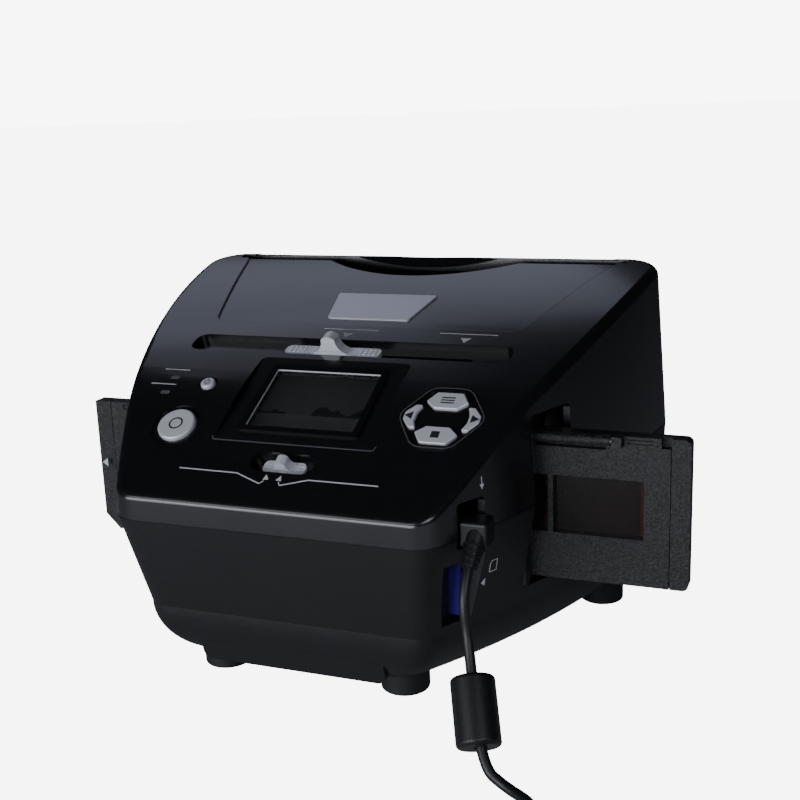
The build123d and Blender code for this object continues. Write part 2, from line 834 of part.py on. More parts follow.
# ---- Film guide: front plate with the gate, two rails and the two mouths ----
guide_front = port_front_y + key_gap
guide_back = port_back_y - key_gap
guide_top = port_high - key_gap
slot_front = holder_front_y - 0.6
slot_back = holder_front_y + 2 * holder_half + 0.6
with BuildPart() as film_guide:
    with Locations((0, (guide_front + guide_back) / 2, (port_low + guide_top) / 2)):
        Box(2 * guide_half, guide_back - guide_front, guide_top - port_low)
    fillet(film_guide.edges().filter_by(Axis.X), 2)
    with Locations((0, (guide_front + guide_plate + guide_back + 20) / 2, 76)):
        hollow_depth = guide_back + 20 - guide_front - guide_plate
        Box(2 * (guide_half - mouth_depth), hollow_depth, 58.2, mode=Mode.SUBTRACT)
    with Locations((0, (slot_front + slot_back) / 2, (holder_low + holder_high) / 2)):
        Box(200, slot_back - slot_front, holder_high - holder_low + 0.8, mode=Mode.SUBTRACT)
    with Locations((0, slot_front - 1.6, 101.9)):
        Box(200, 3.4, 6.8, mode=Mode.SUBTRACT)
    with Locations((0, guide_front, film_z)):
        Box(gate_width, 20, gate_height, mode=Mode.SUBTRACT)
    # Lower top between the mouths, clear of the screen and the key boards
    with Locations((0, guide_back, 112.5)):
        Box(160, 60, 10, mode=Mode.SUBTRACT)
    with Locations((0, guide_front + guide_plate / 2, 110.3)):
        Box(160, guide_plate, 10, mode=Mode.SUBTRACT)
    for ear_x in (rod_left + 2, rod_right - 2):
        with Locations((ear_x, ear_y, 48.2)):
            Box(4, ear_depth, 14.6)
        with Locations((ear_x, ear_y, rod_high)):
            Box(4, ear_depth, 7)
    for rod_z in (rod_low, rod_high):
        with BuildSketch(Plane.YZ.offset(rod_left)):
            with Locations((rod_y, rod_z)):
                Circle(rod_radius)
        extrude(amount=rod_right - rod_left, mode=Mode.SUBTRACT)
finish(film_guide, "film_guide")

# ---- Film holder: base, lid, hinge pins and the strip of film ----
holder_middle_y = holder_front_y + holder_half
holder_mid_z = (holder_low + holder_high) / 2
lid_left = holder_left + 8.3
lid_right = holder_right - grip_width - 0.3
frame_spots = [
    (strip_centre + (frame - (film_frames - 1) / 2) * film_pitch, film_z) for frame in range(film_frames)
]
hinge_y = holder_front_y - 0.7
lug_offset = barrel_length / 2 + lug_gap + lug_width / 2
with BuildPart() as film_holder_base:
    with BuildSketch(Plane.XZ.offset(-holder_middle_y - holder_half)):
        with Locations(((holder_left + holder_right) / 2, holder_mid_z)):
            Rectangle(holder_right - holder_left, holder_high - holder_low)
        with Locations(*frame_spots):
            Rectangle(window_width, window_height, mode=Mode.SUBTRACT)
    extrude(amount=holder_half)
    # Full thickness at both ends
    for low, high in ((holder_left, lid_left - 0.3), (lid_right + 0.3, holder_right)):
        with BuildSketch(Plane.XZ.offset(-holder_middle_y)):
            with Locations(((low + high) / 2, holder_mid_z)):
                Rectangle(high - low, holder_high - holder_low)
        extrude(amount=holder_half)
    # Channel for the film
    with BuildSketch(Plane.XZ.offset(-holder_middle_y)):
        with Locations((strip_centre, film_z)):
            Rectangle(film_frames * film_pitch + 1, film_height + 0.4)
    extrude(amount=-film_thick, mode=Mode.SUBTRACT)
    corners = film_holder_base.edges().filter_by(Axis.Y)
    fillet(corners.filter_by_position(Axis.X, holder_right - 0.1, holder_right + 0.1), 2.5)
    chamfer(corners.filter_by_position(Axis.X, holder_left - 0.1, holder_left + 0.1).sort_by(Axis.Z)[0], 7)
    for hinge_x in hinge_spots:
        for side in (-1, 1):
            with Locations((hinge_x + side * lug_offset, -27.35, hinge_z)):
                Box(lug_width, 6.3, 2 * (holder_high - hinge_z))
        with BuildSketch(Plane.YZ.offset(hinge_x - barrel_length)):
            with Locations((hinge_y, hinge_z)):
                Circle(pin_radius)
        extrude(amount=2 * barrel_length, mode=Mode.SUBTRACT)
finish(film_holder_base, "film_holder_base")

with BuildPart() as film_holder_lid:
    with BuildSketch(Plane.XZ.offset(-holder_middle_y)):
        with Locations(((lid_left + lid_right) / 2, holder_mid_z)):
            Rectangle(lid_right - lid_left, holder_high - holder_low)
        with Locations(*frame_spots):
            Rectangle(window_width, window_height, mode=Mode.SUBTRACT)
        with Locations((lid_right - 1.8, holder_high - 2)):
            Rectangle(3.6, 4, mode=Mode.SUBTRACT)
        for hinge_x in hinge_spots:
            with Locations((hinge_x, hinge_z - 3.1)):
                Rectangle(barrel_length - 4, 1.6, mode=Mode.SUBTRACT)
            for side in (-1, 1):
                with Locations((hinge_x + side * lug_offset, hinge_z)):
                    Rectangle(lug_width + 0.8, 4.8, mode=Mode.SUBTRACT)
    extrude(amount=holder_half)
    for hinge_x in hinge_spots:
        with BuildSketch(Plane.YZ.offset(hinge_x - barrel_length / 2)):
            with Locations((hinge_y, hinge_z)):
                Circle(barrel_radius)
        extrude(amount=barrel_length)
        with BuildSketch(Plane.YZ.offset(hinge_x - barrel_length)):
            with Locations((hinge_y, hinge_z)):
                Circle(pin_radius + running_gap)
        extrude(amount=2 * barrel_length, mode=Mode.SUBTRACT)
finish(film_holder_lid, "film_holder_lid")

with BuildPart() as holder_hinge_pins:
    for hinge_x in hinge_spots:
        with BuildSketch(Plane.YZ.offset(hinge_x - barrel_length / 2 - lug_width)):
            with Locations((hinge_y, hinge_z)):
                Circle(pin_radius)
        extrude(amount=barrel_length + 2 * lug_width)
finish(holder_hinge_pins, "holder_hinge_pins")

with BuildPart() as film_strip:
    with BuildSketch(Plane.XZ.offset(-holder_middle_y)):
        with Locations((strip_centre, film_z)):
            Rectangle(film_frames * film_pitch, film_height)
    extrude(amount=-film_thick)
finish(film_strip, "film_strip")

# ---- Camera looking back through the gate ----
floor_z = base_z + wall
with BuildPart() as camera_bracket:
    with Locations((0, bracket_y, (floor_z + bracket_top) / 2)):
        Box(bracket_width, bracket_sheet, bracket_top - floor_z)
    with Locations((0, bracket_y + 9.75, floor_z + bracket_sheet / 2)):
        Box(bracket_width, 22, bracket_sheet)
    with BuildSketch(Plane.XZ.offset(60)):
        with Locations((0, film_z)):
            Circle(lens_radius)
    extrude(amount=20, mode=Mode.SUBTRACT)
finish(camera_bracket, "camera_bracket")

with BuildPart() as camera_board:
    with Locations((0, bracket_y - 4.05, 73.5)):
        Box(32, board_thick, 27)
finish(camera_board, "camera_board")

with BuildPart() as image_sensor:
    with Locations((0, bracket_y - 2.55, film_z)):
        Box(9.4, 1.4, 7.8)
finish(image_sensor, "image_sensor")

with BuildPart() as lens_barrel:
    with Locations((0, bracket_y - 2.25, film_z)):
        Box(18, 2, 18)
    with BuildSketch(Plane.XZ.offset(50)):
        with Locations((0, film_z)):
            Circle(lens_radius)
    extrude(amount=18)
    with BuildSketch(Plane.XZ.offset(49)):
        with Locations((0, film_z)):
            Circle(lens_bore)
    extrude(amount=22, mode=Mode.SUBTRACT)
finish(lens_barrel, "lens_barrel")

with BuildPart() as scan_lens:
    with BuildSketch(Plane.XZ.offset(-lens_front_y)):
        with Locations((0, film_z)):
            Circle(lens_bore)
    extrude(amount=3)
finish(scan_lens, "scan_lens")

# ---- Main board ----
with BuildPart() as main_board:
    with BuildSketch(Plane.XY.offset(board_z)):
        with Locations((0, board_y)):
            RectangleRounded(board_width, board_depth, 2)
        with Locations(*board_posts):
            Circle(1.3, mode=Mode.SUBTRACT)
    extrude(amount=board_thick)
finish(main_board, "main_board")

board_top = board_z + board_thick
with BuildPart() as image_processor:
    with Locations((-12, 35, board_top + 0.8)):
        Box(16, 16, 1.6)
finish(image_processor, "image_processor")

with BuildPart() as memory_chip:
    with Locations((16, 38, board_top + 0.6)):
        Box(12, 8, 1.2)
finish(memory_chip, "memory_chip")

with BuildPart() as board_screws:
    for spot in board_posts:
        with BuildSketch(Plane.XY.offset(board_top)):
            with Locations(spot):
                Circle(2.6)
        extrude(amount=1.6)
        with BuildSketch(Plane.XY.offset(board_top)):
            with Locations(spot):
                Circle(1.2)
        extrude(amount=-6.5)
finish(board_screws, "board_screws")

# ---- Photo guide and photo lamps ----
with BuildPart() as photo_guide:
    with BuildSketch(Plane.XZ.offset(-96.2)):
        with Locations((0, (photo_low + photo_high) / 2)):
            Rectangle(207.2, photo_high - photo_low)
        with Locations((0, 100)):
            Rectangle(192, 100, mode=Mode.SUBTRACT)
    extrude(amount=9.6)
    with Locations((0, (slot_front_y + slot_back_y) / 2, 96)):
        Box(2 * slot_half + 0.4, slot_back_y - slot_front_y, 104, mode=Mode.SUBTRACT)
finish(photo_guide, "photo_guide")

for name, side in (("left_photo_lamp", -1), ("right_photo_lamp", 1)):
    with BuildPart() as photo_lamp:
        with Locations((side * photo_lamp_x, photo_lamp_middle, (floor_z + photo_lamp_top) / 2)):
            Box(6, 12, photo_lamp_top - floor_z)
    finish(photo_lamp, name)
    with BuildPart() as lamp_diffuser:
        with Locations((side * (photo_lamp_x - 3.6), photo_lamp_middle, 90)):
            Box(1.2, 9, 60)
    finish(lamp_diffuser, name + "_diffuser")

# ---- Sockets at the right side, and the memory card ----
with BuildPart() as io_board:
    with BuildSketch(Plane.XZ.offset(-io_front - board_thick)):
        with Locations((49.2, 62.5)):
            Rectangle(14.4, 59)
        with Locations((55.5, 81)):
            Rectangle(27, 22)
    extrude(amount=board_thick)
finish(io_board, "io_board")

with BuildPart() as sd_socket:
    with Locations((46.6, -64.6, card_z)):
        Box(20.8, 4.8, card_height + 2)
    with Locations((card_tip_x - card_length / 2, card_y, card_z)):
        Box(card_length + 0.4, card_thick + 0.2, card_height + 0.4, mode=Mode.SUBTRACT)
finish(sd_socket, "sd_socket")

with BuildPart() as sd_card:
    with BuildSketch(Plane.XZ.offset(-card_y)):
        with Locations((card_tip_x - card_length / 2, card_z)):
            Rectangle(card_length, card_height)
    extrude(amount=card_thick / 2, both=True)
    fillet(sd_card.edges().filter_by(Axis.Y), 1)
finish(sd_card, "sd_card")

with BuildPart() as usb_socket:
    with Locations((66.1, io_front - 1.95, plug_z)):
        Box(9.2, 3.9, 8.2)
    with Locations((plug_tip_x + 5, plug_y, plug_z)):
        Box(10, tip_thick, tip_height, mode=Mode.SUBTRACT)
finish(usb_socket, "usb_socket")

# ---- Cable plug with its strain relief ----
relief_start = Vector(79.0, -75.5, 74.5)
relief_end = Vector(78.6, -83.0, 66.5)
relief_run = (relief_end - relief_start).normalized()
with BuildPart() as usb_plug:
    with Locations(plug_middle):
        Box(*plug_body)
    fillet(usb_plug.edges().filter_by(Axis.X), 1.5)
    fillet(usb_plug.faces().sort_by(Axis.X)[-1].edges(), 1)
    with Locations((plug_tip_x + 5.5, plug_y, plug_z)):
        Box(11, tip_thick, tip_height)
    relief_plane = Plane(origin=relief_start - relief_run * 3, z_dir=relief_run)
    relief_length = (relief_end - relief_start).length + 3
    with BuildSketch(relief_plane):
        Circle(4.0)
    with BuildSketch(relief_plane.offset(relief_length)):
        Circle(2.6)
    loft()
    for rib in range(4):
        with BuildSketch(relief_plane.offset(5 + rib * 2.4)):
            Circle(4.1 - rib * 0.28)
        extrude(amount=1.2)
finish(usb_plug, "usb_plug")


def cord_radii(points):
    # The widest even bend that still leaves a tenth of each run straight
    radii = []
    for before, corner, after in zip(points, points[1:], points[2:]):
        run_in = Vector(corner) - Vector(before)
        run_out = Vector(after) - Vector(corner)
        half_turn = run_in.get_angle(run_out) / 2
        radii.append(round(0.45 * min(run_in.length, run_out.length) / tangent(half_turn), 2))
    return radii


def cord_section(points):
    start = Vector(points[0])
    with BuildSketch(Plane(origin=start, z_dir=Vector(points[1]) - start)) as section:
        Circle(cord_radius)
    return section.sketch


def report_tube(name, tube, route):
    length = route.length
    share = tube.part.volume / (math.pi * cord_radius**2 * length)
    print(name, "length", round(length, 1), "volume share", round(share, 4))


# ---- Cable from the plug through the ferrite core down to the table ----
ferrite_run = Vector(0.284, -0.6, -0.748).normalized()
cable_corner = Vector(80.6, -90.4, 39.0)
ferrite_top = cable_corner + ferrite_run * 11
ferrite_length = 25.0
ferrite_radius = 8.2
cable_foot = cable_corner + ferrite_run * 42
table_z = cord_radius + floor_gap
cable_points = [
    tuple(relief_end),
    tuple(relief_end + relief_run * 10.6),
    tuple(cable_corner),
    tuple(cable_foot),
    (101.6, -117.2, table_z),
    (112.4, -123.6, table_z),
    (119.2, -134.0, table_z),
    (coil_x - coil_outer, -157.0, coil_low),
    (coil_x - coil_outer, coil_y, coil_low),
]
cable_radii = cord_radii(cable_points)
print("usb_cable bends", cable_radii)
with BuildPart() as usb_cable:
    with BuildLine() as cable_route:
        FilletPolyline(*cable_points, radius=cable_radii)
    sweep(cord_section(cable_points), path=cable_route.wire())
report_tube("usb_cable", usb_cable, cable_route.wire())
finish(usb_cable, "usb_cable")

with BuildPart() as ferrite_core:
    with BuildSketch(Plane(origin=ferrite_top, z_dir=ferrite_run)):
        Circle(ferrite_radius)
    extrude(amount=ferrite_length)
    fillet(ferrite_core.edges().filter_by(GeomType.CIRCLE), 1.6)
    with BuildSketch(Plane(origin=ferrite_top, z_dir=ferrite_run)):
        Circle(cord_radius)
    extrude(amount=ferrite_length, mode=Mode.SUBTRACT)
finish(ferrite_core, "ferrite_core")

# ---- The rest of the cable, put away as a coil in two layers ----
coil_points = [Vector(coil_x - coil_outer, coil_y, coil_low)]
coil_middles = []
side = 1
radius = coil_outer
layer_z = coil_low
for half_turn in range(coil_turns_in + 1 + coil_turns_out):
    here = coil_points[-1]
    climbing = half_turn == coil_turns_in
    rise = coil_pitch if climbing else 0.0
    there = here + Vector(2 * side * radius, 0, rise)
    reach = math.hypot(radius, rise / 2)
    coil_middles.append((here + there) / 2 - Vector(0, side * reach, 0))
    coil_points.append(there)
    side = -side
    radius += -coil_pitch / 2 if half_turn < coil_turns_in else coil_pitch / 2

with BuildPart() as cable_coil:
    with BuildLine() as coil_route:
        for here, middle, there in zip(coil_points, coil_middles, coil_points[1:]):
            ThreePointArc(here, middle, there)
    with BuildSketch(Plane(origin=coil_points[0], z_dir=(0, -1, 0))) as coil_section:
        Circle(cord_radius)
    sweep(coil_section.sketch, path=coil_route.wire())
report_tube("cable_coil", cable_coil, coil_route.wire())
finish(cable_coil, "cable_coil")

# Least gap between two turns: points every 2 mm, compared from 40 mm along the cord
sample_step = 2.0
apart = 20
count = int(coil_route.wire().length / sample_step)
samples = [coil_route.wire().position_at(k / count) for k in range(count + 1)]
least = min(
    (samples[a] - samples[b]).length for a in range(count + 1) for b in range(a + apart, count + 1)
)
print("cable_coil least gap to itself", round(least - 2 * cord_radius, 3))

tie_left = coil_x + 16.6
tie_right = coil_x + 34.55
tie_low = coil_low - cord_radius + 0.05
tie_high = coil_low + coil_pitch + cord_radius - 0.05
with BuildPart() as cable_tie:
    with BuildSketch(Plane.XZ.offset(-coil_y - 3)):
        with Locations(((tie_left + tie_right) / 2, (tie_low + tie_high) / 2)):
            RectangleRounded(tie_right - tie_left + 2.4, tie_high - tie_low + 2.4, 2.4)
            RectangleRounded(tie_right - tie_left, tie_high - tie_low, 1.2, mode=Mode.SUBTRACT)
    extrude(amount=6)
finish(cable_tie, "cable_tie")

# ---- Tail of the cable and the plug for the computer ----
plug_z_far = 4.2
tail_points = [
    tuple(coil_points[-1]),
    tuple(coil_points[-1] + Vector(0, -18, 0)),
    (115.0, -214.0, 6.2),
    (107.0, -231.0, plug_z_far),
    (97.0, -243.0, plug_z_far),
]
tail_radii = cord_radii(tail_points)
print("cable_tail bends", tail_radii)
with BuildPart() as cable_tail:
    with BuildLine() as tail_route:
        FilletPolyline(*tail_points, radius=tail_radii)
    sweep(cord_section(tail_points), path=tail_route.wire())
report_tube("cable_tail", cable_tail, tail_route.wire())
finish(cable_tail, "cable_tail")

far_run = (Vector(tail_points[-1]) - Vector(tail_points[-2])).normalized()
far_plane = Plane(origin=tail_points[-1], x_dir=(0, 0, 1), z_dir=far_run)
with BuildPart() as usb_a_plug:
    with BuildSketch(far_plane):
        RectangleRounded(5.6, 9, 1.6)
    extrude(amount=4)
    with BuildSketch(far_plane.offset(4)):
        RectangleRounded(8, 15.6, 1.6)
    extrude(amount=22)
    fillet(usb_a_plug.faces().sort_by(lambda face: face.center().dot(far_run))[-1].edges(), 0.8)
    with BuildSketch(far_plane.offset(26)):
        Rectangle(4.5, 12)
        with Locations((-0.7, 0)):
            Rectangle(1.9, 11.2, mode=Mode.SUBTRACT)
    extrude(amount=12)
    with BuildSketch(far_plane.offset(25)):
        Rectangle(4.5, 12)
    extrude(amount=3)
finish(usb_a_plug, "usb_a_plug")
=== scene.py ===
import math
import bpy
import bmesh
from mathutils import Matrix, Vector


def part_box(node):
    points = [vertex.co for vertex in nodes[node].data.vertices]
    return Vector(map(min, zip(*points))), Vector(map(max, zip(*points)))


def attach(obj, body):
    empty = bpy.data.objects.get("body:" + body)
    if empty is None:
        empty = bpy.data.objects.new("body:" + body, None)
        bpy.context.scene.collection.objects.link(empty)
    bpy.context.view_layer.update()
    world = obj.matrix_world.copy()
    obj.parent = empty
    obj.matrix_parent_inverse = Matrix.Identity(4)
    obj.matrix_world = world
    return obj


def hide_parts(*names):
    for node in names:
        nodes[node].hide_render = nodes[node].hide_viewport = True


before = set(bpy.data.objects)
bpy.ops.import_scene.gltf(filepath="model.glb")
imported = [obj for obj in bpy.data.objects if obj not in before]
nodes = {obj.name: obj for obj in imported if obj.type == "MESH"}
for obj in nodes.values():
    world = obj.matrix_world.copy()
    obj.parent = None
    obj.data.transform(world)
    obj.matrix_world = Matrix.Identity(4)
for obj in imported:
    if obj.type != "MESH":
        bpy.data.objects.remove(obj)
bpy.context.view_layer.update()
print("frame loaded:", len(nodes), "nodes")

# The panel's shape, as in the part's source, in metres and degrees
panel = {
    "lipY": -0.0905, "lipZ": 0.086, "bendFront": -0.056, "bendBack": -0.030,
    "frontSlope": 33.3, "bendSlope": 21.4, "backSlope": 8.0, "crownBack": 0.100,
}


def sine(angle):
    return math.sin(math.radians(angle))


def cosine(angle):
    return math.cos(math.radians(angle))


def panelFrame(x, y, lift=0.0):
    # A matrix whose z axis is the panel's normal at x, y
    p = panel
    bendRadius = (p["bendBack"] - p["bendFront"]) / (sine(p["frontSlope"]) - sine(p["bendSlope"]))
    crownRadius = (p["crownBack"] - p["bendBack"]) / (sine(p["bendSlope"]) - sine(p["backSlope"]))
    bendZ = p["lipZ"] + (p["bendFront"] - p["lipY"]) * math.tan(math.radians(p["frontSlope"]))
    crownZ = bendZ + bendRadius * (cosine(p["bendSlope"]) - cosine(p["frontSlope"]))
    if y < p["bendFront"]:
        slope = p["frontSlope"]
        z = p["lipZ"] + (y - p["lipY"]) * math.tan(math.radians(slope))
    elif y < p["bendBack"]:
        slope = math.degrees(math.asin(sine(p["frontSlope"]) - (y - p["bendFront"]) / bendRadius))
        z = bendZ + bendRadius * (cosine(slope) - cosine(p["frontSlope"]))
    else:
        slope = math.degrees(math.asin(sine(p["bendSlope"]) - (y - p["bendBack"]) / crownRadius))
        z = crownZ + crownRadius * (cosine(slope) - cosine(p["bendSlope"]))
    turn = Matrix.Rotation(math.radians(slope), 4, "X")
    return Matrix.Translation((x, y, z)) @ turn @ Matrix.Translation((0, 0, lift))


# Camera, floor and light. Angles are in degrees
camera = {
    "place": (0.20941, -0.47001, 0.23261), "yaw": 21.86, "pitch": 14.07, "roll": 2.08,
    "lens": 54.0, "sensor": 36.0, "nearest": 0.01, "farthest": 20,
}
back = Vector((
    sine(camera["yaw"]) * cosine(camera["pitch"]),
    -cosine(camera["yaw"]) * cosine(camera["pitch"]),
    sine(camera["pitch"]),
))
right = (-back).cross(Vector((0, 0, 1))).normalized()
up = right.cross(-back)
rollC, rollS = cosine(camera["roll"]), sine(camera["roll"])
cameraRight = right * rollC - up * rollS
cameraUp = right * rollS + up * rollC
cameraData = bpy.data.cameras.new("photoCamera")
cameraData.lens = camera["lens"]
cameraData.sensor_width = camera["sensor"]
cameraData.clip_start = camera["nearest"]
cameraData.clip_end = camera["farthest"]
cameraObject = bpy.data.objects.new("photoCamera", cameraData)
bpy.context.scene.collection.objects.link(cameraObject)
turn = Matrix((cameraRight, cameraUp, back)).transposed().to_4x4()
cameraObject.matrix_world = Matrix.Translation(camera["place"]) @ turn
bpy.context.scene.camera = cameraObject


def link(name, data):
    made = bpy.data.objects.new(name, data)
    bpy.context.scene.collection.objects.link(made)
    return made


def nodeOf(tree, kind, place=(0, 0), **values):
    node = tree.nodes.new(kind)
    node.location = place
    for key, value in values.items():
        setattr(node, key, value)
    return node


def plainMaterial(name, color, roughness):
    material = bpy.data.materials.new(name)
    material.use_nodes = True
    shader = material.node_tree.nodes["Principled BSDF"]
    shader.inputs["Base Color"].default_value = (*color, 1)
    shader.inputs["Roughness"].default_value = roughness
    return material


studio = {
    "floorColor": (0.80, 0.80, 0.81), "floorRoughness": 0.75, "floorSize": 40.0,
    "floorGlow": 0.88, "glowStrength": 8.0,
    "seenWorld": (1.0, 1.0, 1.0), "seenStrength": 8.0,
    "worldColor": (0.80, 0.83, 0.95), "worldStrength": 0.02,
    # Name, place, aimed at, width, height, power in watts, colour
    "lamps": [
        ("backSoftbox", (-0.75, 1.25, 1.05), (0, 0.02, 0.1), 1.2, 0.6, 1.35, (0.74, 0.79, 1.0)),
        ("overheadSoftbox", (-0.75, 0.90, 1.25), (-0.05, 0, 0.1), 0.6, 0.35, 0.2, (0.76, 0.80, 1.0)),
        ("frontStrip", (-0.45, -1.20, 0.15), (0, -0.05, 0.06), 1.2, 0.28, 9.0, (0.90, 0.94, 1.0)),
        ("frontPool", (-0.30, -0.80, 0.40), (-0.30, -0.80, 0.0), 0.7, 0.4, 2.5, (0.90, 0.93, 1.0)),
        ("sidePool", (0.50, -0.55, 0.35), (0.50, -0.55, 0.0), 0.4, 0.4, 2.2, (0.86, 0.89, 1.0)),
    ],
}
floorMesh = bpy.data.meshes.new("floor")
floorShape = bmesh.new()
bmesh.ops.create_grid(floorShape, x_segments=1, y_segments=1, size=studio["floorSize"] / 2)
floorShape.to_mesh(floorMesh)
floorShape.free()
floor = link("floor", floorMesh)
paleFloor = plainMaterial("paleFloor", studio["floorColor"], studio["floorRoughness"])
floorTree = paleFloor.node_tree
floorGlow = nodeOf(floorTree, "ShaderNodeEmission", (0, -300))
floorGlow.inputs["Strength"].default_value = studio["glowStrength"]
floorRay = nodeOf(floorTree, "ShaderNodeLightPath", (-200, 300))
floorShare = nodeOf(floorTree, "ShaderNodeMath", (0, 300), operation="MULTIPLY")
floorShare.inputs[1].default_value = studio["floorGlow"]
floorMix = nodeOf(floorTree, "ShaderNodeMixShader", (300, 200))
floorTree.links.new(floorRay.outputs["Is Camera Ray"], floorShare.inputs[0])
floorTree.links.new(floorShare.outputs[0], floorMix.inputs["Fac"])
floorTree.links.new(floorTree.nodes["Principled BSDF"].outputs[0], floorMix.inputs[1])
floorTree.links.new(floorGlow.outputs[0], floorMix.inputs[2])
floorTree.links.new(floorMix.outputs[0], floorTree.nodes["Material Output"].inputs["Surface"])
floor.data.materials.append(paleFloor)

world = bpy.data.worlds.new("studioWorld")
bpy.context.scene.world = world
world.use_nodes = True
tree = world.node_tree
tree.nodes.clear()
worldOut = nodeOf(tree, "ShaderNodeOutputWorld", (600, 0))
mixWorld = nodeOf(tree, "ShaderNodeMixShader", (400, 0))
rayKind = nodeOf(tree, "ShaderNodeLightPath", (0, 300))
litWorld = nodeOf(tree, "ShaderNodeBackground", (150, -50))
seenWorld = nodeOf(tree, "ShaderNodeBackground", (150, -200))
litWorld.inputs["Color"].default_value = (*studio["worldColor"], 1)
litWorld.inputs["Strength"].default_value = studio["worldStrength"]
seenWorld.inputs["Color"].default_value = (*studio["seenWorld"], 1)
seenWorld.inputs["Strength"].default_value = studio["seenStrength"]
tree.links.new(rayKind.outputs["Is Camera Ray"], mixWorld.inputs["Fac"])
tree.links.new(litWorld.outputs[0], mixWorld.inputs[1])
tree.links.new(seenWorld.outputs[0], mixWorld.inputs[2])
tree.links.new(mixWorld.outputs[0], worldOut.inputs["Surface"])

for name, place, aim, width, height, power, color in studio["lamps"]:
    lampData = bpy.data.lights.new(name, "AREA")
    lampData.shape = "RECTANGLE"
    lampData.size = width
    lampData.size_y = height
    lampData.energy = power
    lampData.color = color
    lamp = link(name, lampData)
    lamp.location = place
    lamp.rotation_euler = (Vector(aim) - Vector(place)).to_track_quat("-Z", "Y").to_euler()
print("camera, floor and light ready")


# Shared surface effects
def newGroup(name, inputs, outputs):
    group = bpy.data.node_groups.new(name, "ShaderNodeTree")
    for label, kind, value in inputs:
        socket = group.interface.new_socket(label, in_out="INPUT", socket_type=kind)
        if value is not None:
            socket.default_value = value
    for label, kind in outputs:
        group.interface.new_socket(label, in_out="OUTPUT", socket_type=kind)
    return group, nodeOf(group, "NodeGroupInput", (-800, 0)), nodeOf(group, "NodeGroupOutput", (800, 0))


mouldedEffect = {
    "grainDetail": 3.0, "grainRoughness": 0.6, "patchScale": 38.0, "patchDetail": 4.0,
    "bumpDistance": 0.0003, "noiseMean": 0.5,
}


def makeMouldedGroup():
    # Moulded plastic: fine grain in the bump, patchy roughness, faint colour drift and flecks
    group, start, end = newGroup(
        "mouldedSurface",
        [
            ("Color", "NodeSocketColor", (0.02, 0.02, 0.02, 1)),
            ("Roughness", "NodeSocketFloat", 0.5),
            ("Roughness Spread", "NodeSocketFloat", 0.06),
            ("Grain Scale", "NodeSocketFloat", 2500.0),
            ("Grain Depth", "NodeSocketFloat", 0.2),
            ("Drift", "NodeSocketFloat", 0.12),
            ("Speckle", "NodeSocketFloat", 0.0),
        ],
        [("Color", "NodeSocketColor"), ("Roughness", "NodeSocketFloat"), ("Normal", "NodeSocketVector")],
    )
    where = nodeOf(group, "ShaderNodeTexCoord", (-800, -300))
    grain = nodeOf(group, "ShaderNodeTexNoise", (-500, -300))
    grain.inputs["Detail"].default_value = mouldedEffect["grainDetail"]
    grain.inputs["Roughness"].default_value = mouldedEffect["grainRoughness"]
    patch = nodeOf(group, "ShaderNodeTexNoise", (-500, 100))
    patch.inputs["Scale"].default_value = mouldedEffect["patchScale"]
    patch.inputs["Detail"].default_value = mouldedEffect["patchDetail"]
    bump = nodeOf(group, "ShaderNodeBump", (300, -300))
    bump.inputs["Distance"].default_value = mouldedEffect["bumpDistance"]
    spread = nodeOf(group, "ShaderNodeMath", (-200, 100), operation="MULTIPLY_ADD")
    shift = nodeOf(group, "ShaderNodeMath", (-350, 250), operation="SUBTRACT")
    shift.inputs[1].default_value = mouldedEffect["noiseMean"]
    tint = nodeOf(group, "ShaderNodeMath", (-200, 400), operation="MULTIPLY_ADD")
    tint.inputs[2].default_value = 1.0
    shade = nodeOf(group, "ShaderNodeVectorMath", (200, 300), operation="SCALE")
    fleck = nodeOf(group, "ShaderNodeMath", (-200, -150), operation="SUBTRACT")
    fleck.inputs[1].default_value = mouldedEffect["noiseMean"]
    flecks = nodeOf(group, "ShaderNodeMath", (0, 300), operation="MULTIPLY_ADD")
    links = group.links
    links.new(where.outputs["Object"], grain.inputs["Vector"])
    links.new(where.outputs["Object"], patch.inputs["Vector"])
    links.new(grain.outputs["Fac"], fleck.inputs[0])
    links.new(fleck.outputs[0], flecks.inputs[0])
    links.new(start.outputs["Speckle"], flecks.inputs[1])
    links.new(tint.outputs[0], flecks.inputs[2])
    links.new(start.outputs["Grain Scale"], grain.inputs["Scale"])
    links.new(grain.outputs["Fac"], bump.inputs["Height"])
    links.new(start.outputs["Grain Depth"], bump.inputs["Strength"])
    links.new(patch.outputs["Fac"], shift.inputs[0])
    links.new(shift.outputs[0], spread.inputs[0])
    links.new(start.outputs["Roughness Spread"], spread.inputs[1])
    links.new(start.outputs["Roughness"], spread.inputs[2])
    links.new(shift.outputs[0], tint.inputs[0])
    links.new(start.outputs["Drift"], tint.inputs[1])
    links.new(start.outputs["Color"], shade.inputs[0])
    links.new(flecks.outputs[0], shade.inputs["Scale"])
    links.new(shade.outputs[0], end.inputs["Color"])
    links.new(spread.outputs[0], end.inputs["Roughness"])
    links.new(bump.outputs["Normal"], end.inputs["Normal"])
    return group


brushedEffect = {
    "stretch": (60, 2600, 2600), "detail": 3.0, "darkest": 0.88, "brightest": 1.08,
    "roughnessGain": 0.12, "bumpDistance": 0.0001,
}


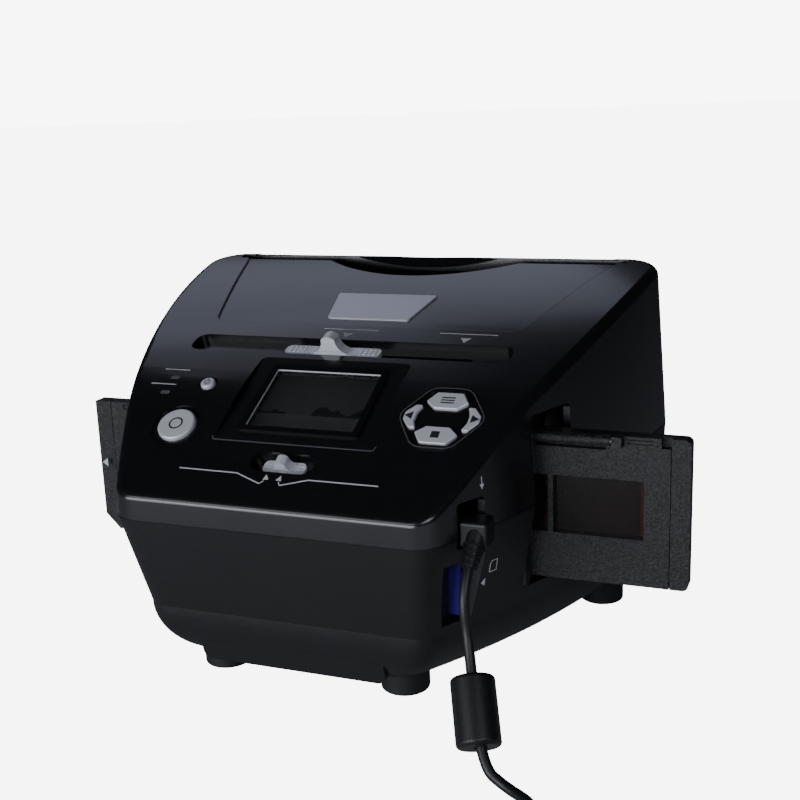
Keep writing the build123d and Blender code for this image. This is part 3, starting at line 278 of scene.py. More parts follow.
def makeBrushedGroup():
    # Fine lines along X, as on brushed or painted metal
    group, start, end = newGroup(
        "brushedSurface",
        [
            ("Color", "NodeSocketColor", (0.6, 0.6, 0.62, 1)),
            ("Roughness", "NodeSocketFloat", 0.32),
            ("Line Depth", "NodeSocketFloat", 0.08),
            ("Line Scale", "NodeSocketFloat", 1.0),
        ],
        [("Color", "NodeSocketColor"), ("Roughness", "NodeSocketFloat"), ("Normal", "NodeSocketVector")],
    )
    where = nodeOf(group, "ShaderNodeTexCoord", (-800, -200))
    stretch = nodeOf(group, "ShaderNodeMapping", (-600, -200))
    stretch.inputs["Scale"].default_value = brushedEffect["stretch"]
    size = nodeOf(group, "ShaderNodeVectorMath", (-420, -200), operation="SCALE")
    lines = nodeOf(group, "ShaderNodeTexNoise", (-250, -200))
    lines.inputs["Scale"].default_value = 1.0
    lines.inputs["Detail"].default_value = brushedEffect["detail"]
    ramp = nodeOf(group, "ShaderNodeMapRange", (0, 100))
    ramp.inputs["To Min"].default_value = brushedEffect["darkest"]
    ramp.inputs["To Max"].default_value = brushedEffect["brightest"]
    shade = nodeOf(group, "ShaderNodeVectorMath", (250, 200), operation="SCALE")
    rough = nodeOf(group, "ShaderNodeMath", (250, 0), operation="MULTIPLY_ADD")
    rough.inputs[1].default_value = brushedEffect["roughnessGain"]
    bump = nodeOf(group, "ShaderNodeBump", (300, -250))
    bump.inputs["Distance"].default_value = brushedEffect["bumpDistance"]
    links = group.links
    links.new(where.outputs["Object"], stretch.inputs["Vector"])
    links.new(stretch.outputs[0], size.inputs[0])
    links.new(start.outputs["Line Scale"], size.inputs["Scale"])
    links.new(size.outputs[0], lines.inputs["Vector"])
    links.new(lines.outputs["Fac"], ramp.inputs["Value"])
    links.new(start.outputs["Color"], shade.inputs[0])
    links.new(ramp.outputs[0], shade.inputs["Scale"])
    links.new(lines.outputs["Fac"], rough.inputs[0])
    links.new(start.outputs["Roughness"], rough.inputs[2])
    links.new(lines.outputs["Fac"], bump.inputs["Height"])
    links.new(start.outputs["Line Depth"], bump.inputs["Strength"])
    links.new(shade.outputs[0], end.inputs["Color"])
    links.new(rough.outputs[0], end.inputs["Roughness"])
    links.new(bump.outputs["Normal"], end.inputs["Normal"])
    return group


mouldedGroup = makeMouldedGroup()
brushedGroup = makeBrushedGroup()


def surfaceMaterial(name, group, values, shaderValues):
    material = bpy.data.materials.new(name)
    material.use_nodes = True
    tree = material.node_tree
    shader = tree.nodes["Principled BSDF"]
    effect = nodeOf(tree, "ShaderNodeGroup", (-300, 0), node_tree=group)
    for label, value in values.items():
        effect.inputs[label].default_value = (*value, 1) if label == "Color" else value
    tree.links.new(effect.outputs["Color"], shader.inputs["Base Color"])
    tree.links.new(effect.outputs["Roughness"], shader.inputs["Roughness"])
    tree.links.new(effect.outputs["Normal"], shader.inputs["Normal"])
    for label, value in (shaderValues or {}).items():
        shader.inputs[label].default_value = value
    return material


def moulded(name, color, roughness, scale, depth, spread=0.06, drift=0.12, speckle=0.0, shader=None):
    values = {
        "Color": color, "Roughness": roughness, "Roughness Spread": spread,
        "Grain Scale": scale, "Grain Depth": depth, "Drift": drift, "Speckle": speckle,
    }
    return surfaceMaterial(name, mouldedGroup, values, shader)


def brushed(name, color, roughness, depth, scale, shader=None):
    values = {"Color": color, "Roughness": roughness, "Line Depth": depth, "Line Scale": scale}
    return surfaceMaterial(name, brushedGroup, values, shader)


# Moulded: colour, roughness, grain scale, grain depth, then spread, drift and speckle where they differ
# Brushed: colour, roughness, line depth, line scale
lacquer = {"Coat Weight": 0.35, "Coat Roughness": 0.12}
metallicPaint = {"Metallic": 0.25}
glossBlack = moulded("glossBlack", (0.0065, 0.0068, 0.0078), 0.24, 1400, 0.02, 0.05, 0.2, shader=lacquer)
casingBlack = moulded("casingBlack", (0.0085, 0.0088, 0.0098), 0.46, 2300, 0.22)
guideBlack = moulded("guideBlack", (0.008, 0.008, 0.0085), 0.5, 1900, 0.25)
holderBlack = moulded("holderBlack", (0.019, 0.019, 0.0195), 0.40, 1100, 2.2, 0.10, 0.2, 5.5)
trimBlack = moulded("trimBlack", (0.006, 0.006, 0.007), 0.16, 1500, 0.02)
silverPaint = moulded("silverPaint", (0.78, 0.79, 0.83), 0.32, 5200, 0.08, 0.08, 0.1, shader=metallicPaint)
plateSilver = brushed("plateSilver", (0.74, 0.75, 0.80), 0.30, 0.10, 1.0, {"Metallic": 0.5})
steel = brushed("steel", (0.55, 0.56, 0.58), 0.26, 0.08, 1.2, {"Metallic": 1.0})
chipBlack = moulded("chipBlack", (0.012, 0.012, 0.013), 0.5, 3000, 0.2)
lightPlastic = moulded("lightPlastic", (0.82, 0.82, 0.79), 0.5, 2200, 0.1)
footRubber = moulded("footRubber", (0.011, 0.011, 0.012), 0.62, 1700, 0.4)
cordRubber = moulded("cordRubber", (0.0085, 0.0088, 0.0095), 0.40, 2400, 0.15)
markGrey = moulded("markGrey", (0.62, 0.63, 0.66), 0.5, 2600, 0.1)
markDark = moulded("markDark", (0.02, 0.02, 0.025), 0.45, 2600, 0.1)
# A lighter grey than the casing, for painted highlights along the edges of the field step, the menu ring
# and the screen recess
paintedEdgeHighlight = moulded("paintedEdgeHighlight", (0.10, 0.103, 0.115), 0.30, 1500, 0.02)
# Light grey for a painted glint along the top and left edges of the screen glass
paintedGlassGlint = moulded("paintedGlassGlint", (0.75, 0.76, 0.78), 0.25, 1500, 0.02)
cardBlue = moulded("cardBlue", (0.030, 0.012, 0.27), 0.38, 2600, 0.15)

clearEffect = {"ior": 1.47, "waveScale": 55.0, "smoothest": 0.7, "roughest": 1.3, "bumpDistance": 0.001}


def clearMaterial(name, color, roughness, transmission, waviness):
    # Glass or clear plastic with a faint waviness
    material = bpy.data.materials.new(name)
    material.use_nodes = True
    tree = material.node_tree
    shader = tree.nodes["Principled BSDF"]
    shader.inputs["Base Color"].default_value = (*color, 1)
    shader.inputs["Transmission Weight"].default_value = transmission
    shader.inputs["IOR"].default_value = clearEffect["ior"]
    where = nodeOf(tree, "ShaderNodeTexCoord", (-800, 0))
    waves = nodeOf(tree, "ShaderNodeTexNoise", (-600, 0))
    waves.inputs["Scale"].default_value = clearEffect["waveScale"]
    level = nodeOf(tree, "ShaderNodeMapRange", (-350, 150))
    level.inputs["To Min"].default_value = roughness * clearEffect["smoothest"]
    level.inputs["To Max"].default_value = roughness * clearEffect["roughest"]
    bump = nodeOf(tree, "ShaderNodeBump", (-350, -150))
    bump.inputs["Strength"].default_value = waviness
    bump.inputs["Distance"].default_value = clearEffect["bumpDistance"]
    tree.links.new(where.outputs["Object"], waves.inputs["Vector"])
    tree.links.new(waves.outputs["Fac"], level.inputs["Value"])
    tree.links.new(waves.outputs["Fac"], bump.inputs["Height"])
    tree.links.new(level.outputs[0], shader.inputs["Roughness"])
    tree.links.new(bump.outputs["Normal"], shader.inputs["Normal"])
    return material


screenGlass = clearMaterial("screenGlass", (0.80, 0.80, 0.83), 0.02, 1.0, 0.0)
clearPlastic = clearMaterial("clearPlastic", (0.30, 0.32, 0.34), 0.25, 0.6, 0.02)
lensGlass = clearMaterial("lensGlass", (0.85, 0.88, 0.95), 0.02, 1.0, 0.0)

# Film: nearly black frames, red brown base between them and along the edges
film = {
    "firstFrame": -0.076, "pitch": 0.038, "frameWidth": 0.0345, "shift": -0.0011,
    "middleZ": 0.0745, "frameHeight": 0.024,
    "base": (0.045, 0.014, 0.007), "picture": (0.007, 0.006, 0.006), "light": (0.016, 0.010, 0.008),
    "pictureScale": 90.0, "pictureDetail": 5.0, "roughness": 0.22, "specular": 0.3,
}


def makeFilmMaterial():
    material = bpy.data.materials.new("filmStrip")
    material.use_nodes = True
    tree = material.node_tree
    links = tree.links
    shader = tree.nodes["Principled BSDF"]
    where = nodeOf(tree, "ShaderNodeTexCoord", (-1400, 0))
    axes = nodeOf(tree, "ShaderNodeSeparateXYZ", (-1200, 0))
    along = nodeOf(tree, "ShaderNodeMath", (-1000, 100), operation="ADD")
    along.inputs[1].default_value = -film["firstFrame"] - film["shift"] + film["pitch"] / 2
    wrap = nodeOf(tree, "ShaderNodeMath", (-850, 100), operation="WRAP")
    wrap.inputs[1].default_value = film["pitch"]
    wrap.inputs[2].default_value = 0.0
    middle = nodeOf(tree, "ShaderNodeMath", (-700, 100), operation="SUBTRACT")
    middle.inputs[1].default_value = film["pitch"] / 2
    away = nodeOf(tree, "ShaderNodeMath", (-550, 100), operation="ABSOLUTE")
    inFrame = nodeOf(tree, "ShaderNodeMath", (-400, 100), operation="LESS_THAN")
    inFrame.inputs[1].default_value = film["frameWidth"] / 2
    height = nodeOf(tree, "ShaderNodeMath", (-1000, -100), operation="SUBTRACT")
    height.inputs[1].default_value = film["middleZ"]
    tall = nodeOf(tree, "ShaderNodeMath", (-850, -100), operation="ABSOLUTE")
    inHeight = nodeOf(tree, "ShaderNodeMath", (-700, -100), operation="LESS_THAN")
    inHeight.inputs[1].default_value = film["frameHeight"] / 2
    both = nodeOf(tree, "ShaderNodeMath", (-250, 0), operation="MULTIPLY")
    shapes = nodeOf(tree, "ShaderNodeTexNoise", (-850, -350))
    shapes.inputs["Scale"].default_value = film["pictureScale"]
    shapes.inputs["Detail"].default_value = film["pictureDetail"]
    tones = nodeOf(tree, "ShaderNodeMix", (-400, -300), data_type="RGBA")
    tones.inputs["A"].default_value = (*film["picture"], 1)
    tones.inputs["B"].default_value = (*film["light"], 1)
    paint = nodeOf(tree, "ShaderNodeMix", (-100, 0), data_type="RGBA")
    paint.inputs["A"].default_value = (*film["base"], 1)
    links.new(where.outputs["Object"], axes.inputs[0])
    links.new(where.outputs["Object"], shapes.inputs["Vector"])
    links.new(axes.outputs["X"], along.inputs[0])
    links.new(along.outputs[0], wrap.inputs[0])
    links.new(wrap.outputs[0], middle.inputs[0])
    links.new(middle.outputs[0], away.inputs[0])
    links.new(away.outputs[0], inFrame.inputs[0])
    links.new(axes.outputs["Z"], height.inputs[0])
    links.new(height.outputs[0], tall.inputs[0])
    links.new(tall.outputs[0], inHeight.inputs[0])
    links.new(inFrame.outputs[0], both.inputs[0])
    links.new(inHeight.outputs[0], both.inputs[1])
    links.new(shapes.outputs["Fac"], tones.inputs["Factor"])
    links.new(tones.outputs["Result"], paint.inputs["B"])
    links.new(both.outputs[0], paint.inputs["Factor"])
    links.new(paint.outputs["Result"], shader.inputs["Base Color"])
    shader.inputs["Roughness"].default_value = film["roughness"]
    shader.inputs["Specular IOR Level"].default_value = film["specular"]
    return material


filmMaterial = makeFilmMaterial()

# The picture on the screen: a dark island between a grey sky and grey water
screen = {
    "place": (0, -0.042, 0.1145), "slope": 27.06, "halfHeight": 0.018, "waterLine": -0.0060,
    "hillScale": 70.0, "hillDetail": 3.0, "hillHeight": 0.030, "hillFoot": -0.0195, "roughness": 0.35,
    "sky": (0.105, 0.102, 0.100), "haze": (0.175, 0.172, 0.158),
    "hill": (0.040, 0.038, 0.042), "water": (0.20, 0.197, 0.178),
}


def makeScreenMaterial():
    material = bpy.data.materials.new("screenPicture")
    material.use_nodes = True
    tree = material.node_tree
    links = tree.links
    shader = tree.nodes["Principled BSDF"]
    where = nodeOf(tree, "ShaderNodeTexCoord", (-1400, 0))
    shift = nodeOf(tree, "ShaderNodeVectorMath", (-1250, 0), operation="SUBTRACT")
    shift.inputs[1].default_value = screen["place"]
    level = nodeOf(tree, "ShaderNodeMapping", (-1100, 0))
    level.inputs["Rotation"].default_value = (math.radians(-screen["slope"]), 0, 0)
    axes = nodeOf(tree, "ShaderNodeSeparateXYZ", (-900, 0))
    hills = nodeOf(tree, "ShaderNodeTexNoise", (-900, -250), noise_dimensions="1D")
    hills.inputs["Scale"].default_value = screen["hillScale"]
    hills.inputs["Detail"].default_value = screen["hillDetail"]
    ridge = nodeOf(tree, "ShaderNodeMath", (-700, -250), operation="MULTIPLY_ADD")
    ridge.inputs[1].default_value = screen["hillHeight"]
    ridge.inputs[2].default_value = screen["hillFoot"]
    above = nodeOf(tree, "ShaderNodeMath", (-500, -100), operation="GREATER_THAN")
    sky = nodeOf(tree, "ShaderNodeMapRange", (-500, 150))
    sky.inputs["From Min"].default_value = -screen["halfHeight"]
    sky.inputs["From Max"].default_value = screen["halfHeight"]
    skyMix = nodeOf(tree, "ShaderNodeMix", (-300, 100), data_type="RGBA")
    skyMix.inputs["A"].default_value = (*screen["haze"], 1)
    skyMix.inputs["B"].default_value = (*screen["sky"], 1)
    picture = nodeOf(tree, "ShaderNodeMix", (-100, 0), data_type="RGBA")
    picture.inputs["A"].default_value = (*screen["hill"], 1)
    below = nodeOf(tree, "ShaderNodeMath", (-300, -250), operation="LESS_THAN")
    below.inputs[1].default_value = screen["waterLine"]
    water = nodeOf(tree, "ShaderNodeMix", (50, 0), data_type="RGBA")
    water.inputs["B"].default_value = (*screen["water"], 1)
    links.new(where.outputs["Object"], shift.inputs[0])
    links.new(shift.outputs[0], level.inputs["Vector"])
    links.new(level.outputs[0], axes.inputs[0])
    links.new(axes.outputs["X"], hills.inputs["W"])
    links.new(hills.outputs["Fac"], ridge.inputs[0])
    links.new(axes.outputs["Y"], above.inputs[0])
    links.new(ridge.outputs[0], above.inputs[1])
    links.new(axes.outputs["Y"], sky.inputs["Value"])
    links.new(sky.outputs[0], skyMix.inputs["Factor"])
    links.new(skyMix.outputs["Result"], picture.inputs["B"])
    links.new(above.outputs[0], picture.inputs["Factor"])
    links.new(axes.outputs["Y"], below.inputs[0])
    links.new(below.outputs[0], water.inputs["Factor"])
    links.new(picture.outputs["Result"], water.inputs["A"])
    links.new(water.outputs["Result"], shader.inputs["Base Color"])
    shader.inputs["Roughness"].default_value = screen["roughness"]
    return material


screenMaterial = makeScreenMaterial()

# Circuit boards: green lacquer over a net of copper tracks
board = {
    "scale": 240.0, "trackWidth": 0.09, "lacquer": (0.004, 0.055, 0.022), "track": (0.012, 0.13, 0.045),
    "bumpDistance": 0.0001, "roughness": 0.32,
}


def makeBoardMaterial():
    material = bpy.data.materials.new("circuitBoard")
    material.use_nodes = True
    tree = material.node_tree
    links = tree.links
    shader = tree.nodes["Principled BSDF"]
    where = nodeOf(tree, "ShaderNodeTexCoord", (-1000, 0))
    cells = nodeOf(tree, "ShaderNodeTexVoronoi", (-800, 0), feature="DISTANCE_TO_EDGE")
    cells.inputs["Scale"].default_value = board["scale"]
    track = nodeOf(tree, "ShaderNodeMath", (-550, 0), operation="LESS_THAN")
    track.inputs[1].default_value = board["trackWidth"]
    paint = nodeOf(tree, "ShaderNodeMix", (-300, 0), data_type="RGBA")
    paint.inputs["A"].default_value = (*board["lacquer"], 1)
    paint.inputs["B"].default_value = (*board["track"], 1)
    bump = nodeOf(tree, "ShaderNodeBump", (-300, -250))
    bump.inputs["Distance"].default_value = board["bumpDistance"]
    links.new(where.outputs["Object"], cells.inputs["Vector"])
    links.new(cells.outputs["Distance"], track.inputs[0])
    links.new(track.outputs[0], paint.inputs["Factor"])
    links.new(paint.outputs["Result"], shader.inputs["Base Color"])
    links.new(track.outputs[0], bump.inputs["Height"])
    links.new(bump.outputs["Normal"], shader.inputs["Normal"])
    shader.inputs["Roughness"].default_value = board["roughness"]
    return material


boardGreen = makeBoardMaterial()

finishes = {
    "upper_casing": glossBlack,
    "lower_casing": casingBlack,
    "front_left_foot": footRubber,
    "front_right_foot": footRubber,
    "rear_left_foot": footRubber,
    "rear_right_foot": footRubber,
    "case_screws": steel,
    "lcd_frame": trimBlack,
    "lcd_window": screenGlass,
    "lcd_module": screenMaterial,
    "nav_ring": trimBlack,
    "mode_button": silverPaint,
    "enter_button": silverPaint,
    "left_button": silverPaint,
    "right_button": silverPaint,
    "scan_button": silverPaint,
    "power_button": silverPaint,
    "nameplate": plateSilver,
    "led_windows": clearPlastic,
    "left_button_board": boardGreen,
    "right_button_board": boardGreen,
    "tact_switches": chipBlack,
    "focus_slider": silverPaint,
    "light_carriage": guideBlack,
    "lower_guide_rod": steel,
    "upper_guide_rod": steel,
    "film_backlight": lightPlastic,
    "backlight_diffuser": lightPlastic,
    "mode_switch_knob": silverPaint,
    "mode_switch_body": chipBlack,
    "film_guide": guideBlack,
    "film_holder_base": holderBlack,
    "film_holder_lid": holderBlack,
    "holder_hinge_pins": steel,
    "film_strip": filmMaterial,
    "camera_bracket": guideBlack,
    "camera_board": boardGreen,
    "image_sensor": chipBlack,
    "lens_barrel": guideBlack,
    "scan_lens": lensGlass,
    "main_board": boardGreen,
    "image_processor": chipBlack,
    "memory_chip": chipBlack,
    "board_screws": steel,
    "photo_guide": guideBlack,
    "left_photo_lamp": lightPlastic,
    "right_photo_lamp": lightPlastic,
    "left_photo_lamp_diffuser": lightPlastic,
    "right_photo_lamp_diffuser": lightPlastic,
    "io_board": boardGreen,
    "sd_socket": steel,
    "sd_card": cardBlue,
    "usb_socket": steel,
    "usb_plug": cordRubber,
    "usb_cable": cordRubber,
    "ferrite_core": cordRubber,
    "cable_coil": cordRubber,
    "cable_tie": cordRubber,
    "cable_tail": cordRubber,
    "usb_a_plug": cordRubber,
}
for nodeName, material in finishes.items():
    for slot in nodes[nodeName].material_slots:
        slot.material = material
print("materials on", len(finishes), "nodes")


# The cable: one line through the same points as in the part's source
cable = {
    "radius": 0.002,
    "drop": [
        (0.0786, -0.0830, 0.0665), (0.078213, -0.090247, 0.058769), (0.0806, -0.0904, 0.0390),
        (0.092519, -0.115580, 0.007609), (0.1016, -0.1172, 0.00205), (0.1124, -0.1236, 0.00205),
        (0.1192, -0.1340, 0.00205), (0.1200, -0.1570, 0.0034),
    ],
    "coilStart": (0.120, -0.176), "coilOuter": 0.028, "pitch": 0.0046, "lowZ": 0.0034,
    "turnsIn": 5, "turnsOut": 6, "cornerStep": 45.0,
    "tail": [
        (0.1200, -0.1940, 0.0080), (0.1150, -0.2140, 0.0062), (0.1070, -0.2310, 0.0042),
        (0.0970, -0.2430, 0.0042),
    ],
    "length": 1.10, "curveOrder": 3, "stepsAlong": 8, "stepsAround": 5,
}


def coilControls():
    # Half turns one after another: inward, one climbing to the upper layer, then outward.
    # Each one has four corners of the octagon that stands round its circle
    x, y = cable["coilStart"]
    z = cable["lowZ"]
    radius = cable["coilOuter"]
    side = 1
    controls = []
    for halfTurn in range(cable["turnsIn"] + 1 + cable["turnsOut"]):
        climbs = halfTurn == cable["turnsIn"]
        rise = cable["pitch"] if climbs else 0.0
        for corner in range(4):
            angle = cable["cornerStep"] * (corner + 0.5)
            reach = radius / cosine(cable["cornerStep"] / 2)
            controls.append((
                x + side * (radius - reach * cosine(angle)),
                y - side * reach * sine(angle),
                z + rise * (1 - cosine(angle)) / 2,
            ))
        x += 2 * side * radius
        z += rise
        side = -side
        radius += -cable["pitch"] / 2 if halfTurn < cable["turnsIn"] else cable["pitch"] / 2
    return controls


def splineCurve(name, points, radius, material):
    curve = bpy.data.curves.new(name, "CURVE")
    curve.dimensions = "3D"
    spline = curve.splines.new("NURBS")
    spline.points.add(len(points) - 1)
    for point, place in zip(spline.points, points):
        point.co = (*place, 1)
    spline.order_u = cable["curveOrder"]
    spline.use_endpoint_u = True
    spline.resolution_u = cable["stepsAlong"]
    curve.bevel_depth = radius
    curve.bevel_resolution = cable["stepsAround"]
    curve.use_fill_caps = True
    curve.materials.append(material)
    return link(name, curve)


cablePoints = cable["drop"] + coilControls() + cable["tail"]
cableCord = splineCurve("cableCord", cablePoints, cable["radius"], cordRubber)
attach(cableCord, "casing")
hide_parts("usb_cable", "cable_coil", "cable_tail")
print("cable laid")


# Tools for thin pieces: marks of raised ink, and lines of painted highlight on edges
ink = {"depth": 0.00010, "sink": -0.00004, "cornerSteps": 4, "ringSides": 48}


def finishPiece(name, shape, place, body, material):
    bmesh.ops.recalc_face_normals(shape, faces=shape.faces)
    shape.transform(place)
    mesh = bpy.data.meshes.new(name)
    shape.to_mesh(mesh)
    shape.free()
    mesh.materials.append(material)
    piece = link(name, mesh)
    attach(piece, body)
    return piece


def thicken(shape, depth):
    grown = bmesh.ops.extrude_face_region(shape, geom=list(shape.faces))
    moved = [item for item in grown["geom"] if isinstance(item, bmesh.types.BMVert)]
    bmesh.ops.translate(shape, verts=moved, vec=(0, 0, depth))


def polygonShape(outline, rounding, depth, lift):
    shape = bmesh.new()
    corners = [shape.verts.new((x, y, lift)) for x, y in outline]
    shape.faces.new(corners)
    if rounding:
        bmesh.ops.bevel(
            shape, geom=list(shape.verts), offset=rounding, segments=ink["cornerSteps"],
            affect="VERTICES", profile=0.5, material=-1,
        )
    thicken(shape, depth)
    return shape


def ribbonShape(points, width):
    # A flat line of even width through points on a plane
    shape = bmesh.new()
    rails = []
    for index, point in enumerate(points):
        before = Vector(points[max(index - 1, 0)])
        after = Vector(points[min(index + 1, len(points) - 1)])
        side = (after - before).normalized().orthogonal() * width / 2
        middle = Vector(point)
        rails.append((
            shape.verts.new((*(middle + side), ink["sink"])),
            shape.verts.new((*(middle - side), ink["sink"])),
        ))
    for (first, second), (third, fourth) in zip(rails, rails[1:]):
        shape.faces.new((first, second, fourth, third))
    thicken(shape, ink["depth"])
    return shape


def ringShape(inner, outer):
    shape = bmesh.new()
    rims = []
    for radius in (inner, outer):
        made = bmesh.ops.create_circle(
            shape, cap_ends=False, segments=ink["ringSides"], radius=radius,
        )
        rims.append(list({edge for vert in made["verts"] for edge in vert.link_edges}))
    bmesh.ops.bridge_loops(shape, edges=rims[0] + rims[1])
    bmesh.ops.translate(shape, verts=list(shape.verts), vec=(0, 0, ink["sink"]))
    thicken(shape, ink["depth"])
    return shape


def drapedStrip(path, profile):
    # A strip of even profile along a line on the panel; profile points are (outward, height)
    shape = bmesh.new()
    rings = []
    for index, (x, y) in enumerate(path):
        before = Vector(path[max(index - 1, 0)])
        after = Vector(path[min(index + 1, len(path) - 1)])
        out = Vector((after.y - before.y, before.x - after.x)).normalized()
        rings.append([
            shape.verts.new(panelFrame(x + out.x * away, y + out.y * away) @ Vector((0, 0, height)))
            for away, height in profile
        ])
    size = len(profile)
    for first, second in zip(rings, rings[1:]):
        for k in range(size):
            shape.faces.new((first[k], second[k], second[(k + 1) % size], first[(k + 1) % size]))
    shape.faces.new(rings[0])
    shape.faces.new(rings[-1])
    return shape


def roundedPath(corners, radius, spacing, cornerSteps=6):
    # Points along straight runs with rounded corners, no two further apart than the spacing
    path = [Vector(corners[0])]
    for before, corner, after in zip(corners, corners[1:], corners[2:]):
        here = Vector(corner)
        runIn = (here - Vector(before)).normalized()
        runOut = (Vector(after) - here).normalized()
        cut = radius * math.tan(runIn.angle(runOut) / 2)
        for step in range(cornerSteps + 1):
            share = step / cornerSteps
            first = here - runIn * cut * (1 - share)
            second = here + runOut * cut * share
            path.append(first.lerp(second, share))
    path.append(Vector(corners[-1]))
    dense = [path[0]]
    for first, second in zip(path, path[1:]):
        count = max(1, math.ceil((second - first).length / spacing))
        dense += [first.lerp(second, (k + 1) / count) for k in range(count)]
    return [(point.x, point.y) for point in dense]


def bar(width, height):
    x, y = width / 2, height / 2
    return [(-x, -y), (x, -y), (x, y), (-x, y)]


def mark(name, outline, rounding, place, body="casing", material=markGrey):
    shape = polygonShape(outline, rounding, ink["depth"], ink["sink"])
    return finishPiece(name, shape, place, body, material)


def turned(degrees, axis="Z"):
    return Matrix.Rotation(math.radians(degrees), 4, axis)


# Chamfer along the step of the field, from one end of the photo slot round to the other. Its lighter grey
# is a painted highlight on the step's edge
fieldEdge = {
    "corners": [
        (-0.0972, 0.0875), (-0.0950, 0.0820), (-0.0735, 0.0093),
        (0.0735, 0.0093), (0.0950, 0.0820), (0.0972, 0.0875),
    ],
    "rounding": 0.007, "spacing": 0.003,
    "profile": [(0.0002, 0.00004), (0.0002, -0.00090), (-0.0008, -0.00090), (-0.0008, -0.00074)],
}
path = roundedPath(fieldEdge["corners"], fieldEdge["rounding"], fieldEdge["spacing"])
shape = drapedStrip(path, fieldEdge["profile"])
finishPiece("fieldEdge", shape, Matrix(), "casing", paintedEdgeHighlight)

# Painted glint: light grey strips along the top and the left edge of the screen glass, where the edge
# catches the light
windowEdge = {
    "halfWidth": 0.0236, "halfHeight": 0.0176, "thick": 0.0002, "height": 0.0005, "lift": 0.00002,
}
glassPlace = Matrix.Translation(screen["place"]) @ turned(screen["slope"], "X")
for name, x, y, wide, tall in (
    ("windowEdgeTop", 0, windowEdge["halfHeight"], 2 * windowEdge["halfWidth"], windowEdge["thick"]),
    ("windowEdgeLeft", -windowEdge["halfWidth"], 0, windowEdge["thick"], 2 * windowEdge["halfHeight"]),
):
    shape = polygonShape(bar(wide, tall), 0, windowEdge["height"], windowEdge["lift"])
    place = glassPlace @ Matrix.Translation((x, y, 0))
    finishPiece(name, shape, place, "casing", paintedGlassGlint)

# A triangle and a line at each of the two places of the slider, above the track
sliderMarks = {
    "places": {"film": (-0.0035, 0.0008), "photo": (0.0510, 0.0006)},
    "width": 0.0048, "height": 0.0038, "rounding": 0.0002,
    "line": (0.026, 0.0004), "lineAbove": 0.0052,
}
for name, (x, y) in sliderMarks["places"].items():
    wide, tall = sliderMarks["width"] / 2, sliderMarks["height"] / 2
    triangle = [(0, -tall), (wide, tall), (-wide, tall)]
    mark(name + "PlaceMark", triangle, sliderMarks["rounding"], panelFrame(x, y))
    mark(name + "PlaceLine", bar(*sliderMarks["line"]), 0, panelFrame(x, y + sliderMarks["lineAbove"]))

# Lines under the mode switch, bent up to two small arrows
switchMarks = {
    "lines": [
        [(-0.0429, -0.0788), (-0.0171, -0.0789), (-0.0058, -0.0824), (-0.0044, -0.0812)],
        [(0.0427, -0.0793), (0.0140, -0.0793), (0.0030, -0.0824), (0.0021, -0.0812)],
    ],
    "width": 0.00045, "knobY": -0.0735,
    "arrows": [(-0.0040, -0.0796, 12), (0.0019, -0.0796, -8)],
    "arrow": [(-0.0012, -0.0012), (0.0012, -0.0012), (0, 0.0014)], "rounding": 0.0001,
}
# The panel is flat here, so one frame carries a whole line, drawn in plan and stretched to the slope
stretch = Matrix.Diagonal((1, 1 / cosine(panel["frontSlope"]), 1, 1))
linePlace = panelFrame(0, switchMarks["knobY"]) @ stretch
for index, points in enumerate(switchMarks["lines"]):
    ribbon = ribbonShape([(x, y - switchMarks["knobY"]) for x, y in points], switchMarks["width"])
    finishPiece(f"switchLine{index + 1}", ribbon, linePlace, "casing", markGrey)
for index, (x, y, degrees) in enumerate(switchMarks["arrows"]):
    place = panelFrame(x, y) @ turned(degrees)
    mark(f"switchArrow{index + 1}", switchMarks["arrow"], switchMarks["rounding"], place)

# Short lines beside the two indicator windows
indicatorLines = {"places": [(-0.0705, -0.0310), (-0.0720, -0.0405)], "size": (0.0125, 0.0005)}
for index, (x, y) in enumerate(indicatorLines["places"]):
    mark(f"indicatorLine{index + 1}", bar(*indicatorLines["size"]), 0, panelFrame(x, y))

# Marks on the four menu keys: two triangles, a square and three bars
menuMarks = {
    "centre": (0.0576, -0.0491, -0.0009), "keyTop": 0.0012, "sideReach": 0.0132, "endReach": 0.0094,
    "triangle": [(0.0021, 0), (-0.0012, 0.0021), (-0.0012, -0.0021)],
    "square": 0.0034, "rounding": 0.0002,
    "bar": (0.0056, 0.0006), "barRounding": 0.0001, "barPitch": 0.0014,
}
menu = panelFrame(*menuMarks["centre"])
keyTop = menuMarks["keyTop"]
side, end = menuMarks["sideReach"], menuMarks["endReach"]
for name, outline, (x, y), body in (
    ("leftKeyMark", [(-x, -y) for x, y in menuMarks["triangle"]], (-side, 0), "left_key"),
    ("rightKeyMark", menuMarks["triangle"], (side, 0), "right_key"),
    ("enterKeyMark", bar(menuMarks["square"], menuMarks["square"]), (0, -end), "enter_key"),
):
    spot = menu @ Matrix.Translation((x, y, keyTop))
    mark(name, outline, menuMarks["rounding"], spot, body, markDark)
for index in range(3):
    spot = menu @ Matrix.Translation((0, end + (index - 1) * menuMarks["barPitch"], keyTop))
    outline = bar(*menuMarks["bar"])
    mark(f"modeKeyMark{index + 1}", outline, menuMarks["barRounding"], spot, "mode_key", markDark)

# Painted highlight: a lighter grey line along the outer edge of the menu ring
menuEdge = {
    "corners": [
        (0, 0.0162), (0.0079, 0.0162), (0.0181, 0), (0.0079, -0.0162), (-0.0079, -0.0162), (-0.0181, 0),
        (-0.0079, 0.0162), (0, 0.0162),
    ],
    "rounding": 0.007, "spacing": 0.004, "width": 0.0004, "lift": 0.0011,
}
path = roundedPath(menuEdge["corners"], menuEdge["rounding"], menuEdge["spacing"])
shape = ribbonShape(path, menuEdge["width"])
place = menu @ Matrix.Translation((0, 0, menuEdge["lift"]))
finishPiece("menuEdge", shape, place, "casing", paintedEdgeHighlight)
